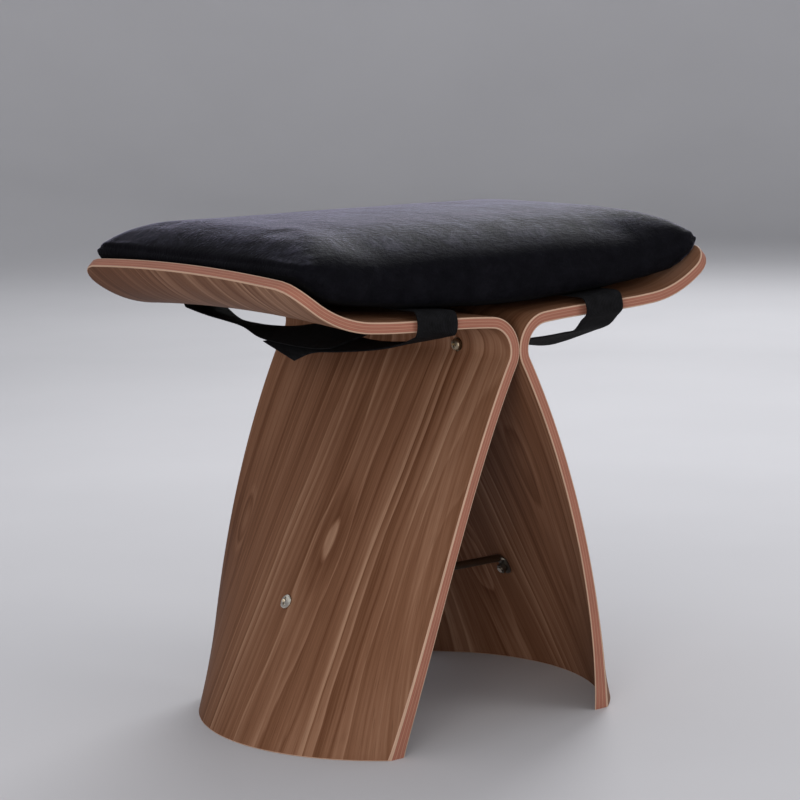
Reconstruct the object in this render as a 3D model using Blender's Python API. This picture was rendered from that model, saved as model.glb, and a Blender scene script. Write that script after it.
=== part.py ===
"""Two-shell bent plywood stool with a strapped seat pad.

Metres, +Z up. X runs across the two wings, -Y is the front, and the origin lies on the floor
midway between the feet. Each shell is one moulding: a wing that carries the seat, a tight bend
and a leg. The two bends meet along a straight line and are bolted there, and a metal stretcher
ties the legs.
"""

import math

import bmesh
import bpy
import numpy as np
from mathutils import Matrix, Vector

# Shells
PLY = 0.0092                # thickness of the moulded plywood
SEAT_DEPTH = 0.310          # front to back across the wings
TOUCH_HEIGHT = 0.3225       # height of the line where the two bends meet
MEETING_GAP = 0.0003        # left open between the two bends
BEND_RADIUS = 0.025         # middle of the ply, between leg and seat
SEAT_SLOPE = math.radians(5.5)
SEAT_RUN = 0.122            # straight stretch of each wing
WING_RADIUS = 0.1087        # middle of the ply, where the wing sweeps up
WING_SWEEP = math.radians(42.5)
WING_CROWN = 0.0056         # the middle of a wing lies this far above its front and back edges
TIP_CORNER = 0.023          # rounding of the wing's free corners
LEG_BEND_RADIUS = 0.0205    # middle of the ply, below the meeting line
LEG_SPLAY = math.radians(28.7)
FOOT_RADIUS = 0.159         # each leg is bowed to this radius at the floor
BOW_GROWTH = 1.72           # how the bow grows from nothing at the bend to the foot
FOOT_DEPTH = 0.2595         # front to back at the floor
TAPER_GROWTH = 2.6          # how the leg narrows on its way down

# Bolts through the two bends
BOLT_SPACING = 0.1762
BOLT_DIAMETER = 0.006
BOLT_HEAD_DIAMETER = 0.0104
BOLT_HEAD_HEIGHT = 0.0032
BOLT_TAIL = 0.0015          # thread that stands out of the nut
WASHER_DIAMETER = 0.011
WASHER_THICKNESS = 0.0012
BOLT_NUT_FLATS = 0.0095
BOLT_NUT_HEIGHT = 0.0048
SPOT_FACE_DEPTH = 0.0004    # flat seat cut into the bend for each washer
SPOT_FACE_MARGIN = 0.0005

# Heads of the bolts and screws, as shares of the head's size
HEAD_RIM_SHARE = 0.35       # height of the straight rim below the dome
RECESS_ARM_SHARE = 0.26     # half length of the cross recess
RECESS_WIDTH_SHARE = 0.08   # half width of its arms
RECESS_FLOOR_SHARE = 0.35   # height left below the recess

# Stretcher and its screws
SCREW_HEIGHT = 0.106        # where the screw crosses the middle of the leg
SCREW_DIAMETER = 0.005
SCREW_HEAD_DIAMETER = 0.0124
SCREW_HEAD_HEIGHT = 0.0026
SCREW_TAIL = 0.0012
SCREW_NUT_FLATS = 0.008
SCREW_NUT_HEIGHT = 0.004
ROD_DIAMETER = 0.007
ROD_BEND_RADIUS = 0.006
TAB_WIDTH = 0.014           # the rod's ends are flattened to tabs
TAB_THICKNESS = 0.0028
TAB_RISE = 0.0095           # from the screw up the tab to the line of the rod
TAB_TOE = 0.008             # from the screw down to the end of the tab
FLATTEN_LEAD = 1.2          # the rod is thinned a little sooner than it is widened

# Cushion
CUSHION_SIDE_INSET = 0.0048 # from the wing's front and back edges to the cushion's sides
CUSHION_END_INSET = 0.0027  # from the wing's upper tip edge to the cushion's end
CUSHION_CORNER = 0.0143
CUSHION_WAIST = 0.003       # sides drawn in between the corners
BAND_HEIGHT = 0.0403        # side band at the middle of the seat
BAND_END_HEIGHT = 0.0093    # side band over the wing tips
TOP_CROWN = 0.0283          # top panel above its seam
CROWN_POWER = 2.5           # roundness of the top from front to back
END_SQUARENESS = 7.5        # how much squarer the top is near the ends
SQUARE_START = 0.6          # where that begins, as a share of the half length
END_SLOPE = 0.88            # rise of the top from the wing tips inwards
END_FALL = 0.0047           # how much lower the top lies near the ends
SHOULDER = 0.0092           # easing between the sloping ends and the top
BASE_CURVE = 0.42           # curve of the underside where it hangs free between the wings
BASE_DROP = 0.0005          # its middle below the wing at the outer edge of the straps
BASE_EASING = 0.002
BAND_BULGE = 0.0022
BULGE_SHARE = 0.38          # height of the fullest part of the band
BULGE_INSET_SHARE = 0.2     # share of the base's inset that is left there
BASE_INSET = 0.005          # the base is this much smaller than the seam line all round
COVER_WALL = 0.0014
BASE_THICKNESS = 0.0018
FOAM_CLEARANCE = 0.0006     # more room between the foam and the base than the fit gap

# Straps
STRAP_WIDTH = 0.040
STRAP_THICKNESS = 0.0018
STRAP_PLACE = 0.087         # middle of each strap from the middle of the seat
STRAP_TAIL = 0.036          # length sewn under the cushion's base
LOOP_REACH_LEFT = 0.005     # how far a loop swings out from its turning line
LOOP_REACH_RIGHT = 0.0085
LOOP_INSET = 0.002          # the turning line lies this far inside the wing's edge
LOOP_DROP_LEFT = 0.0035     # lowest point of the loop below the wing's edge
LOOP_DROP_RIGHT = 0.0138
STRAP_SAG_LEFT = 0.026      # the slack strap hangs this far below the wing
STRAP_SAG_RIGHT = 0.0325
LAP_LENGTH = 0.070          # hook-and-loop lap of the two halves
LAP_MIDDLE_LEFT = 0.030     # middle of the lap, towards the back
LAP_MIDDLE_RIGHT = -0.040
LAP_GAP = 0.0004

# Fits
FIT_GAP = 0.0003            # between pieces that bear on each other
BORE_GAP = 0.0003           # round a shank in its hole

# Fineness
COLUMNS = 24                # across the depth of a shell
LEG_ROWS = 10
LEG_BEND_ROWS = 4
BEND_ROWS = 9
SEAT_ROWS = 4
SWEEP_ROWS = 5
CORNER_ROWS = 5
ROUND_SIDES = 28
DOME_ROWS = 5
NUT_STEPS = 24              # round a nut, a multiple of six
ROD_SIDES = 14
ROD_BEND_ROWS = 8
TAB_END_ROWS = 6
PLAN_STEPS = 5              # per corner of the cushion's outline
PLAN_LONG_STEPS = 8
PLAN_SHORT_STEPS = 6
FLOOR_RING_SHARE = (0.96, 0.92, 0.87, 0.81, 0.73, 0.62, 0.46, 0.25)
TOP_RING_SHARE = (0.985, 0.955, 0.91, 0.85, 0.76, 0.58, 0.34)
TAIL_ROWS = 4
LOOP_ROWS = 10
HANG_ROWS = 8
LAP_ROWS = 3

HALF_DEPTH = SEAT_DEPTH / 2
BRIDGE_HALF = STRAP_PLACE + STRAP_WIDTH / 2
BEND_TURN = math.pi / 2 - SEAT_SLOPE
TOUCH_X = PLY / 2 + MEETING_GAP / 2
BEND_LENGTH = BEND_RADIUS * BEND_TURN
WING_LENGTH = WING_RADIUS * WING_SWEEP
TIP_DISTANCE = BEND_LENGTH + SEAT_RUN + WING_LENGTH
LEG_BEND_LENGTH = LEG_BEND_RADIUS * LEG_SPLAY
LEG_TOP_X = TOUCH_X + LEG_BEND_RADIUS * (1 - math.cos(LEG_SPLAY))
LEG_TOP_Z = TOUCH_HEIGHT - LEG_BEND_RADIUS * math.sin(LEG_SPLAY)
LEG_LENGTH = LEG_TOP_Z / math.cos(LEG_SPLAY)
FOOT_DISTANCE = -(LEG_BEND_LENGTH + LEG_LENGTH)
SIDES = {"left": -1, "right": 1}
ENDS = {"front": -1, "back": 1}


def smooth_step(value):
    value = min(max(value, 0.0), 1.0)
    return value * value * (3 - 2 * value)


def middle_line(s):
    """Point of a shell's middle line, s measured from the meeting line: up the wing, down the leg."""
    if s < -LEG_BEND_LENGTH:
        run = -s - LEG_BEND_LENGTH
        return LEG_TOP_X + run * math.sin(LEG_SPLAY), LEG_TOP_Z - run * math.cos(LEG_SPLAY)
    if s < 0:
        turn = -s / LEG_BEND_RADIUS
        return (TOUCH_X + LEG_BEND_RADIUS * (1 - math.cos(turn)),
                TOUCH_HEIGHT - LEG_BEND_RADIUS * math.sin(turn))
    turn = min(s / BEND_RADIUS, BEND_TURN)
    x = TOUCH_X + BEND_RADIUS * (1 - math.cos(turn))
    z = TOUCH_HEIGHT + BEND_RADIUS * math.sin(turn)
    run = min(max(s - BEND_LENGTH, 0), SEAT_RUN)
    x += run * math.cos(SEAT_SLOPE)
    z += run * math.sin(SEAT_SLOPE)
    sweep = max(s - BEND_LENGTH - SEAT_RUN, 0) / WING_RADIUS
    x += WING_RADIUS * (math.sin(SEAT_SLOPE + sweep) - math.sin(SEAT_SLOPE))
    z += WING_RADIUS * (math.cos(SEAT_SLOPE) - math.cos(SEAT_SLOPE + sweep))
    return x, z


def leg_share(s):
    """How far down the straight leg a place lies, 0 at the bend and 1 at the floor."""
    return min(max((-s - LEG_BEND_LENGTH) / LEG_LENGTH, 0), 1)


def middle_surface(s, y):
    """Point (x, z) of a shell's middle surface at depth y."""
    x, z = middle_line(s)
    curve = leg_share(s) ** BOW_GROWTH / FOOT_RADIUS
    if curve > 0:
        x -= (1 - math.sqrt(1 - (curve * y) ** 2)) / curve
    rise = smooth_step((s - BEND_LENGTH) / SEAT_RUN)
    return x, z - WING_CROWN * rise * (y / HALF_DEPTH) ** 2


def half_depth_at(s):
    """Half of the shell's front-to-back size at a place along it."""
    taper = (SEAT_DEPTH - FOOT_DEPTH) / 2 * leg_share(s) ** TAPER_GROWTH
    into_corner = min(max(s - (TIP_DISTANCE - TIP_CORNER), 0), TIP_CORNER)
    corner = TIP_CORNER - math.sqrt(TIP_CORNER ** 2 - into_corner ** 2)
    return HALF_DEPTH - taper - corner


def face_point(s, y, side):
    """Point (x, z) on a face of the ply: side 1 is the seat and inner-leg face, -1 the other."""
    step = PLY / 100
    x, z = middle_surface(s, y)
    ahead = middle_surface(min(s + step, TIP_DISTANCE), y)
    behind = middle_surface(max(s - step, FOOT_DISTANCE), y)
    far = middle_surface(s, y + step)
    near = middle_surface(s, y - step)
    along = Vector((ahead[0] - behind[0], 0, ahead[1] - behind[1]))
    across = Vector((far[0] - near[0], 2 * step, far[1] - near[1]))
    normal = along.cross(across).normalized()
    if s <= FOOT_DISTANCE:
        return x + side * PLY / 2 / normal.x, z
    scale = side * PLY / 2 / (normal.x ** 2 + normal.z ** 2)
    return x + scale * normal.x, z + scale * normal.z


def spread(start, end, count):
    """Evenly spaced places after start, up to and including end."""
    return [start + (end - start) * (i + 1) / count for i in range(count)]


def shell_places():
    """Places along a shell, from the foot to the wing tip, closer together on the bends."""
    places = [FOOT_DISTANCE]
    places += spread(FOOT_DISTANCE, -LEG_BEND_LENGTH, LEG_ROWS)
    places += spread(-LEG_BEND_LENGTH, 0, LEG_BEND_ROWS)
    places += spread(0, BEND_LENGTH, BEND_ROWS)
    places += spread(BEND_LENGTH, BEND_LENGTH + SEAT_RUN, SEAT_ROWS)
    places += spread(BEND_LENGTH + SEAT_RUN, TIP_DISTANCE - TIP_CORNER, SWEEP_ROWS)
    corner_turns = spread(0, math.pi / 2, CORNER_ROWS)
    places += [TIP_DISTANCE - TIP_CORNER + TIP_CORNER * math.sin(turn) for turn in corner_turns]
    return places


SEAT_LINE = [face_point(s, 0.0, 1) for s in shell_places() if s >= BEND_LENGTH]
SEAT_X = [point[0] for point in SEAT_LINE]
SEAT_Z = [point[1] for point in SEAT_LINE]
TIP_X = SEAT_X[-1]


def seat_height(x):
    """Height of the seat's upper face on the middle line of the wings."""
    return float(np.interp(abs(x), SEAT_X, SEAT_Z))


def base_height(x):
    """Underside of the cushion, which rests on the upturned wings and hangs free between them."""
    resting = seat_height(x) + FIT_GAP
    hanging = seat_height(BRIDGE_HALF) - BASE_DROP + BASE_CURVE * x * x
    return (resting + hanging + math.hypot(resting - hanging, BASE_EASING)) / 2


def wing_edge(x, side):
    """Height of a wing's front edge at x: side 1 is its upper arris, -1 its lower one."""
    places = [s for s in shell_places() if BEND_LENGTH <= s <= TIP_DISTANCE - TIP_CORNER]
    points = [face_point(s, HALF_DEPTH, side) for s in places]
    return float(np.interp(abs(x), [p[0] for p in points], [p[1] for p in points]))


def clear_scene():
    for item in list(bpy.data.objects):
        bpy.data.objects.remove(item, do_unlink=True)


def make_material(name, colour, roughness, metallic=0.0):
    material = bpy.data.materials.new(name)
    material.use_nodes = True
    shader = material.node_tree.nodes["Principled BSDF"]
    shader.inputs["Base Color"].default_value = (*colour, 1.0)
    shader.inputs["Roughness"].default_value = roughness
    shader.inputs["Metallic"].default_value = metallic
    return material


def add_object(name, bm, material=None, frame=None, sharp=30):
    """Close a bmesh into a named object, with faces out and smooth shading."""
    bmesh.ops.remove_doubles(bm, verts=bm.verts, dist=1e-7)
    bmesh.ops.recalc_face_normals(bm, faces=bm.faces)
    mesh = bpy.data.meshes.new(name)
    bm.to_mesh(mesh)
    bm.free()
    mesh.shade_smooth()
    mesh.set_sharp_from_angle(angle=math.radians(sharp))
    if material:
        mesh.materials.append(material)
    item = bpy.data.objects.new(name, mesh)
    if frame:
        item.matrix_world = frame
    bpy.context.collection.objects.link(item)
    return item


def add_cutter(name, bm, targets, frame=None):
    """Cut a hidden shape out of each target."""
    cutter = add_object(name, bm, frame=frame)
    cutter.hide_render = True
    cutter.display_type = "WIRE"
    for target in targets:
        cut = target.modifiers.new(name, "BOOLEAN")
        cut.operation = "DIFFERENCE"
        cut.solver = "EXACT"
        cut.object = cutter
    return cutter


def skin(bm, rows, closed_rows=False):
    """Quads between neighbouring rows of vertices."""
    for low, high in zip(rows, rows[1:]):
        count = len(low)
        for i in range(count if closed_rows else count - 1):
            j = (i + 1) % count
            bm.faces.new((low[i], low[j], high[j], high[i]))


def lathe(profile, sides=ROUND_SIDES):
    """Body of revolution about Z from (radius, height) points, closed where the profile closes."""
    bm = bmesh.new()
    start = math.pi / sides
    verts = [bm.verts.new((radius * math.cos(start), radius * math.sin(start), height))
             for radius, height in profile]
    edges = [bm.edges.new(pair) for pair in zip(verts, verts[1:])]
    bmesh.ops.spin(bm, geom=verts + edges, cent=(0, 0, 0), axis=(0, 0, 1),
                   angle=2 * math.pi, steps=sides, use_merge=True)
    return bm


def rod_bm(radius, start, end, sides=ROUND_SIDES):
    return lathe([(0, start), (radius, start), (radius, end), (0, end)], sides)


def washer_bm(outer, bore, thickness):
    profile = [(bore, 0), (outer, 0), (outer, thickness), (bore, thickness), (bore, 0)]
    return lathe(profile)


def nut_bm(flats, bore, height):
    """Hexagon nut standing on z = 0, its bore and its flats sampled at the same angles."""
    bm = bmesh.new()
    rows = []
    for on_hexagon, level in ((False, 0), (True, 0), (True, height), (False, height)):
        row = []
        for i in range(NUT_STEPS):
            angle = 2 * math.pi * i / NUT_STEPS
            inside = (angle + math.pi / 6) % (math.pi / 3) - math.pi / 6
            radius = flats / 2 / math.cos(inside) if on_hexagon else bore
            row.append(bm.verts.new((radius * math.cos(angle), radius * math.sin(angle), level)))
        rows.append(row)
    skin(bm, rows + rows[:1], closed_rows=True)
    return bm


def pan_screw_bm(head_radius, head_height, shank_radius, length):
    """Screw with a low domed head above z = 0 and its shank below."""
    rim = head_height * HEAD_RIM_SHARE
    crown = []
    for i in range(DOME_ROWS):
        turn = math.pi / 2 * i / DOME_ROWS
        crown.append((head_radius * math.cos(turn), rim + (head_height - rim) * math.sin(turn)))
    profile = [(0, -length), (shank_radius, -length), (shank_radius, 0), (head_radius, 0)]
    return lathe(profile + crown + [(0, head_height)])


def cross_recess_bm(arm, width, floor, top):
    """Plus-shaped prism that cuts a driver's recess."""
    bm = bmesh.new()
    quarter = [(width, arm), (width, width), (arm, width)]
    outline = []
    for turn in range(4):
        spun = Matrix.Rotation(-turn * math.pi / 2, 2)
        outline += [spun @ Vector(point) for point in quarter]
    rows = [[bm.verts.new((p.x, p.y, level)) for p in outline] for level in (floor, top)]
    skin(bm, rows, closed_rows=True)
    for row in rows:
        bm.faces.new(row)
    return bm


def along_x(x, y, z, side):
    """Frame whose Z axis points along X, to the given side."""
    return Matrix.Translation((x, y, z)) @ Matrix.Rotation(side * math.pi / 2, 4, "Y")


def leg_frame(side, offset):
    """Frame on the leg's screw line, Z pointing out of the leg, offset from the middle of the ply."""
    drop = (LEG_TOP_Z - SCREW_HEIGHT) / math.cos(LEG_SPLAY)
    x, z = middle_line(-LEG_BEND_LENGTH - drop)
    out = Vector((side * math.cos(LEG_SPLAY), 0, math.sin(LEG_SPLAY)))
    turn = Matrix.Rotation(side * (math.pi / 2 - LEG_SPLAY), 4, "Y")
    return Matrix.Translation(Vector((side * x, 0, z)) + out * offset) @ turn


def build_shell(name, side, material):
    """One moulding: both faces of the ply over a grid of places and depths, closed at the rim."""
    bm = bmesh.new()
    faces = []
    for face in (1, -1):
        rows = []
        for s in shell_places():
            edge = half_depth_at(s)
            row = []
            for i in range(COLUMNS + 1):
                y = edge * (2 * i / COLUMNS - 1)
                x, z = face_point(s, y, face)
                row.append(bm.verts.new((side * x, y, z)))
            rows.append(row)
        skin(bm, rows)
        faces.append(rows)
    upper, lower = faces
    skin(bm, [upper[0], lower[0]])
    skin(bm, [upper[-1], lower[-1]])
    for column in (0, -1):
        skin(bm, [[row[column] for row in upper], [row[column] for row in lower]])
    return add_object(name, bm, material)


def build_bend_bolts(shells, steel):
    """Bolt, washers and nut at the front and the back of the meeting line."""
    bore = BOLT_DIAMETER / 2 + BORE_GAP
    seat = TOUCH_X + PLY / 2 - SPOT_FACE_DEPTH
    washer_seat = seat + FIT_GAP
    bearing = washer_seat + WASHER_THICKNESS + FIT_GAP
    length = 2 * bearing + BOLT_NUT_HEIGHT + BOLT_TAIL
    spot_radius = WASHER_DIAMETER / 2 + SPOT_FACE_MARGIN
    for end, sign in ENDS.items():
        y = sign * BOLT_SPACING / 2
        add_cutter(f"bolt_hole_{end}", rod_bm(bore, -BEND_RADIUS, BEND_RADIUS), shells.values(),
                   along_x(0, y, TOUCH_HEIGHT, 1))
        for side, direction in SIDES.items():
            add_cutter(f"spot_face_{side}_{end}", rod_bm(spot_radius, seat, BEND_RADIUS),
                       [shells[side]], along_x(0, y, TOUCH_HEIGHT, direction))
            add_object(f"bend_washer_{side}_{end}",
                       washer_bm(WASHER_DIAMETER / 2, bore, WASHER_THICKNESS), steel,
                       along_x(direction * washer_seat, y, TOUCH_HEIGHT, direction))
        head_frame = along_x(-bearing, y, TOUCH_HEIGHT, -1)
        bolt = add_object(f"bend_bolt_{end}", pan_screw_bm(
            BOLT_HEAD_DIAMETER / 2, BOLT_HEAD_HEIGHT, BOLT_DIAMETER / 2, length), steel, head_frame)
        cut_recess(f"bend_recess_{end}", bolt, BOLT_HEAD_DIAMETER, BOLT_HEAD_HEIGHT, head_frame)
        add_object(f"bend_nut_{end}", nut_bm(BOLT_NUT_FLATS, bore, BOLT_NUT_HEIGHT), steel,
                   along_x(bearing, y, TOUCH_HEIGHT, 1))


def cut_recess(name, screw, head_diameter, head_height, frame):
    """Cross recess in a pan head, sized from the head."""
    recess = cross_recess_bm(head_diameter * RECESS_ARM_SHARE, head_diameter * RECESS_WIDTH_SHARE,
                             head_height * RECESS_FLOOR_SHARE, head_height * 2)
    add_cutter(name, recess, [screw], frame)


def stretcher_path():
    """Half of the rod's middle line in the XZ plane with its half width and half thickness."""
    tab = leg_frame(1, -(PLY / 2 + FIT_GAP + TAB_THICKNESS / 2))
    hole = tab.translation
    down = Vector((math.sin(LEG_SPLAY), 0, -math.cos(LEG_SPLAY)))
    turn = math.pi / 2 - LEG_SPLAY
    corner = hole - down * TAB_RISE
    reach = ROD_BEND_RADIUS * math.tan(turn / 2)
    bend_start = corner - Vector((reach, 0, 0))
    centre = bend_start - Vector((0, 0, ROD_BEND_RADIUS))
    round_half = ROD_DIAMETER / 2
    flat_half = TAB_THICKNESS / 2
    path = [(Vector((0, 0, corner.z)), 0.0, round_half, round_half)]
    for i in range(ROD_BEND_ROWS + 1):
        share = i / ROD_BEND_ROWS
        swing = turn * share
        place = centre + ROD_BEND_RADIUS * Vector((math.sin(swing), 0, math.cos(swing)))
        width = round_half + (TAB_WIDTH / 2 - round_half) * smooth_step(share)
        thick = round_half + (flat_half - round_half) * smooth_step(share * FLATTEN_LEAD)
        path.append((place, swing, width, thick))
    straight_end = hole + down * (TAB_TOE - TAB_WIDTH / 2)
    for i in range(TAB_END_ROWS):
        ease = math.pi / 2 * i / TAB_END_ROWS
        place = straight_end + down * (TAB_WIDTH / 2 * math.sin(ease))
        path.append((place, turn, TAB_WIDTH / 2 * math.cos(ease), flat_half))
    return path


def build_stretcher(steel):
    """Round rod whose ends turn down along the legs and are flattened to tabs for the screws."""
    half = stretcher_path()
    bm = bmesh.new()
    rows = []
    for sign, part in ((-1, list(reversed(half[1:]))), (1, half)):
        for place, swing, width, thick in part:
            normal = Vector((sign * math.sin(swing), 0, math.cos(swing)))
            middle = Vector((sign * place.x, 0, place.z))
            row = []
            for i in range(ROD_SIDES):
                angle = 2 * math.pi * (i + 0.5) / ROD_SIDES
                point = middle + normal * (thick * math.sin(angle))
                row.append(bm.verts.new(point + Vector((0, width * math.cos(angle), 0))))
            rows.append(row)
    skin(bm, rows, closed_rows=True)
    bm.faces.new(rows[0])
    bm.faces.new(rows[-1])
    return add_object("stretcher_rod", bm, steel)


def build_leg_screws(shells, stretcher, steel):
    """Screw through each leg, square to its face, with a nut that clamps the stretcher's tab."""
    bore = SCREW_DIAMETER / 2 + BORE_GAP
    tab_back = PLY / 2 + FIT_GAP + TAB_THICKNESS
    nut_seat = tab_back + FIT_GAP
    head_seat = PLY / 2 + FIT_GAP
    length = head_seat + nut_seat + SCREW_NUT_HEIGHT + SCREW_TAIL
    reach = SCREW_HEAD_DIAMETER
    for side, sign in SIDES.items():
        add_cutter(f"screw_hole_{side}", rod_bm(bore, -reach, reach), [shells[side], stretcher],
                   leg_frame(sign, 0))
        head_frame = leg_frame(sign, head_seat)
        screw = add_object(f"leg_screw_{side}", pan_screw_bm(
            SCREW_HEAD_DIAMETER / 2, SCREW_HEAD_HEIGHT, SCREW_DIAMETER / 2, length), steel, head_frame)
        cut_recess(f"leg_recess_{side}", screw, SCREW_HEAD_DIAMETER, SCREW_HEAD_HEIGHT, head_frame)
        add_object(f"leg_nut_{side}", nut_bm(SCREW_NUT_FLATS, bore, SCREW_NUT_HEIGHT), steel,
                   leg_frame(sign, -nut_seat - SCREW_NUT_HEIGHT))


CUSHION_HALF_LENGTH = TIP_X - CUSHION_END_INSET
CUSHION_HALF_DEPTH = HALF_DEPTH - CUSHION_SIDE_INSET


def cushion_outline(inset):
    """Plan of the cushion: a rounded rectangle whose sides are drawn in between the corners."""
    half_x = CUSHION_HALF_LENGTH - inset
    half_y = CUSHION_HALF_DEPTH - inset
    radius = CUSHION_CORNER - inset
    points = []
    for quarter, (sx, sy) in enumerate(((1, 1), (-1, 1), (-1, -1), (1, -1))):
        start = quarter * math.pi / 2
        for i in range(PLAN_STEPS + 1):
            angle = start + math.pi / 2 * i / PLAN_STEPS
            points.append((sx * (half_x - radius) + radius * math.cos(angle),
                           sy * (half_y - radius) + radius * math.sin(angle)))
        run, steps = (half_y - radius) * 2, PLAN_SHORT_STEPS
        if quarter % 2 == 0:
            run, steps = (half_x - radius) * 2, PLAN_LONG_STEPS
        x, y = points[-1]
        way = Vector((-math.sin(start + math.pi / 2), math.cos(start + math.pi / 2)))
        points += [(x + way.x * run * i / steps, y + way.y * run * i / steps) for i in range(1, steps)]
    drawn = []
    for x, y in points:
        drawn.append((x * (1 - CUSHION_WAIST / half_x * (1 - (y / half_y) ** 2)),
                      y * (1 - CUSHION_WAIST / half_y * (1 - (x / half_x) ** 2))))
    return drawn


def seam_height(x):
    """Height of the seam between the side band and the top panel."""
    middle = base_height(0) + BAND_HEIGHT
    over_tip = base_height(x) + BAND_END_HEIGHT
    easing = BAND_END_HEIGHT / 2
    return (middle + over_tip + math.hypot(middle - over_tip, easing)) / 2


def top_height(x, y, inset, crown):
    """Height of the top panel: level in the middle, sloping to the wing tips, round to the sides."""
    half_x = CUSHION_HALF_LENGTH - inset
    share_x = min(abs(x) / half_x, 1.0)
    level = seam_height(0) + crown - END_FALL * share_x ** 4
    sloping = seam_height(half_x) + END_SLOPE * half_x * (1 - share_x)
    ridge = (level + sloping - math.hypot(level - sloping, SHOULDER)) / 2
    radius = CUSHION_CORNER - inset
    into_corner = max(abs(x) - (half_x - radius), 0.0)
    half_y = CUSHION_HALF_DEPTH - inset - radius + math.sqrt(max(radius ** 2 - into_corner ** 2, 0.0))
    share_y = min(abs(y) / half_y, 1.0)
    power = CROWN_POWER + END_SQUARENESS * smooth_step((share_x - SQUARE_START) / (1 - SQUARE_START))
    rise = max(ridge - seam_height(x), 0.0)
    return seam_height(x) + rise * math.sqrt(1 - share_y ** power)


def cushion_rings(inset, lift, crown):
    """Rings of the cushion's upper body, from its lower rim up the band and over the crowned top."""
    bulge = inset + BASE_INSET * BULGE_INSET_SHARE - BAND_BULGE
    rims = [(inset + BASE_INSET, 0.0), (bulge, BULGE_SHARE), (inset, 1.0)]
    rings = []
    for rim_inset, share in rims:
        ring = []
        for x, y in cushion_outline(rim_inset):
            low = base_height(x) + lift
            ring.append((x, y, low + (seam_height(x) - low) * share))
        rings.append(ring)
    for share in TOP_RING_SHARE:
        ring = []
        for x, y in cushion_outline(inset):
            ring.append((x * share, y * share, top_height(x * share, y * share, inset, crown)))
        rings.append(ring)
    return rings, (0, 0, top_height(0, 0, inset, crown))


def floor_rings(inset, lift):
    """Rings of a face that follows the seat, from the rim inwards, and its middle point."""
    outlines = [cushion_outline(inset)]
    for share in FLOOR_RING_SHARE:
        outlines.append([(x * share, y * share) for x, y in cushion_outline(BASE_INSET)])
    rings = [[(x, y, base_height(x) + lift) for x, y in outline] for outline in outlines]
    return rings, (0, 0, base_height(0) + lift)


def dome(bm, rings, middle):
    """Skin over rings that close onto a middle point; returns the vertices of the first ring."""
    rows = [[bm.verts.new(point) for point in ring] for ring in rings]
    skin(bm, rows, closed_rows=True)
    top = bm.verts.new(middle)
    last = rows[-1]
    for i, vert in enumerate(last):
        bm.faces.new((vert, last[(i + 1) % len(last)], top))
    return rows[0]


def closed_pad(upper, lower):
    """Solid between two domes over the same outline."""
    bm = bmesh.new()
    skin(bm, [dome(bm, *upper), dome(bm, *lower)], closed_rows=True)
    return bm


def build_cushion(fabric, lining, foam):
    """Base panel on the wings, cover with its side band and crowned top, and the foam inside."""
    base_top = BASE_THICKNESS
    rim = base_top + FIT_GAP
    base = closed_pad(floor_rings(BASE_INSET, base_top), floor_rings(BASE_INSET, 0.0))
    add_object("cushion_base", base, lining)
    inner_crown = TOP_CROWN - COVER_WALL
    cover = closed_pad(cushion_rings(0.0, rim, TOP_CROWN),
                       cushion_rings(COVER_WALL, rim, inner_crown))
    add_object("cushion_cover", cover, fabric, sharp=50)
    clear = COVER_WALL + FIT_GAP
    core_rim = rim + FOAM_CLEARANCE
    core = closed_pad(cushion_rings(clear, core_rim, inner_crown - FIT_GAP),
                      floor_rings(clear + BASE_INSET, core_rim))
    add_object("cushion_foam", core, foam, sharp=50)


def strap_path(x, end, reach, drop, sag, lap_middle):
    """Middle line (y, z) of half a strap: sewn tail, loop round the wing's edge, slack run, lap."""
    tail_z = base_height(x) - FIT_GAP - STRAP_THICKNESS / 2
    turning = HALF_DEPTH - LOOP_INSET
    sewn_end = CUSHION_HALF_DEPTH - STRAP_TAIL
    low_z = wing_edge(x, -1) - drop - STRAP_THICKNESS / 2
    middle_z = (tail_z + low_z) / 2
    half_height = (tail_z - low_z) / 2
    path = [(end * y, tail_z) for y in np.linspace(sewn_end, turning, TAIL_ROWS)]
    for angle in spread(0, math.pi, LOOP_ROWS):
        path.append((end * (turning + reach * math.sin(angle)),
                     middle_z + half_height * math.cos(angle)))
    lap_shift = end * (STRAP_THICKNESS + LAP_GAP) / 2
    hang_z = wing_edge(x, -1) - sag + lap_shift
    lap_near = lap_middle + end * LAP_LENGTH / 2
    for share in spread(0, 1, HANG_ROWS):
        y = end * turning + (lap_near - end * turning) * share
        path.append((y, low_z + (hang_z - low_z) * smooth_step(share)))
    for y in spread(lap_near, lap_near - end * LAP_LENGTH, LAP_ROWS):
        path.append((y, hang_z))
    return path


def build_strap(name, side, end, hang, webbing):
    """Half of an elastic strap, as wide as the webbing and following the slope of the wing."""
    bm = bmesh.new()
    faces = []
    for face in (1, -1):
        columns = []
        for x in (STRAP_PLACE - STRAP_WIDTH / 2, STRAP_PLACE + STRAP_WIDTH / 2):
            path = strap_path(x, end, *hang)
            column = []
            for i, (y, z) in enumerate(path):
                before = path[max(i - 1, 0)]
                after = path[min(i + 1, len(path) - 1)]
                way = Vector((after[0] - before[0], after[1] - before[1])).normalized()
                shift = face * STRAP_THICKNESS / 2
                column.append(bm.verts.new((side * x, y - way.y * shift, z + way.x * shift)))
            columns.append(column)
        skin(bm, columns)
        faces.append(columns)
    upper, lower = faces
    for edge in (0, 1):
        skin(bm, [upper[edge], lower[edge]])
    for tip in (0, -1):
        bm.faces.new((upper[0][tip], upper[1][tip], lower[1][tip], lower[0][tip]))
    return add_object(name, bm, webbing, sharp=60)


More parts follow.
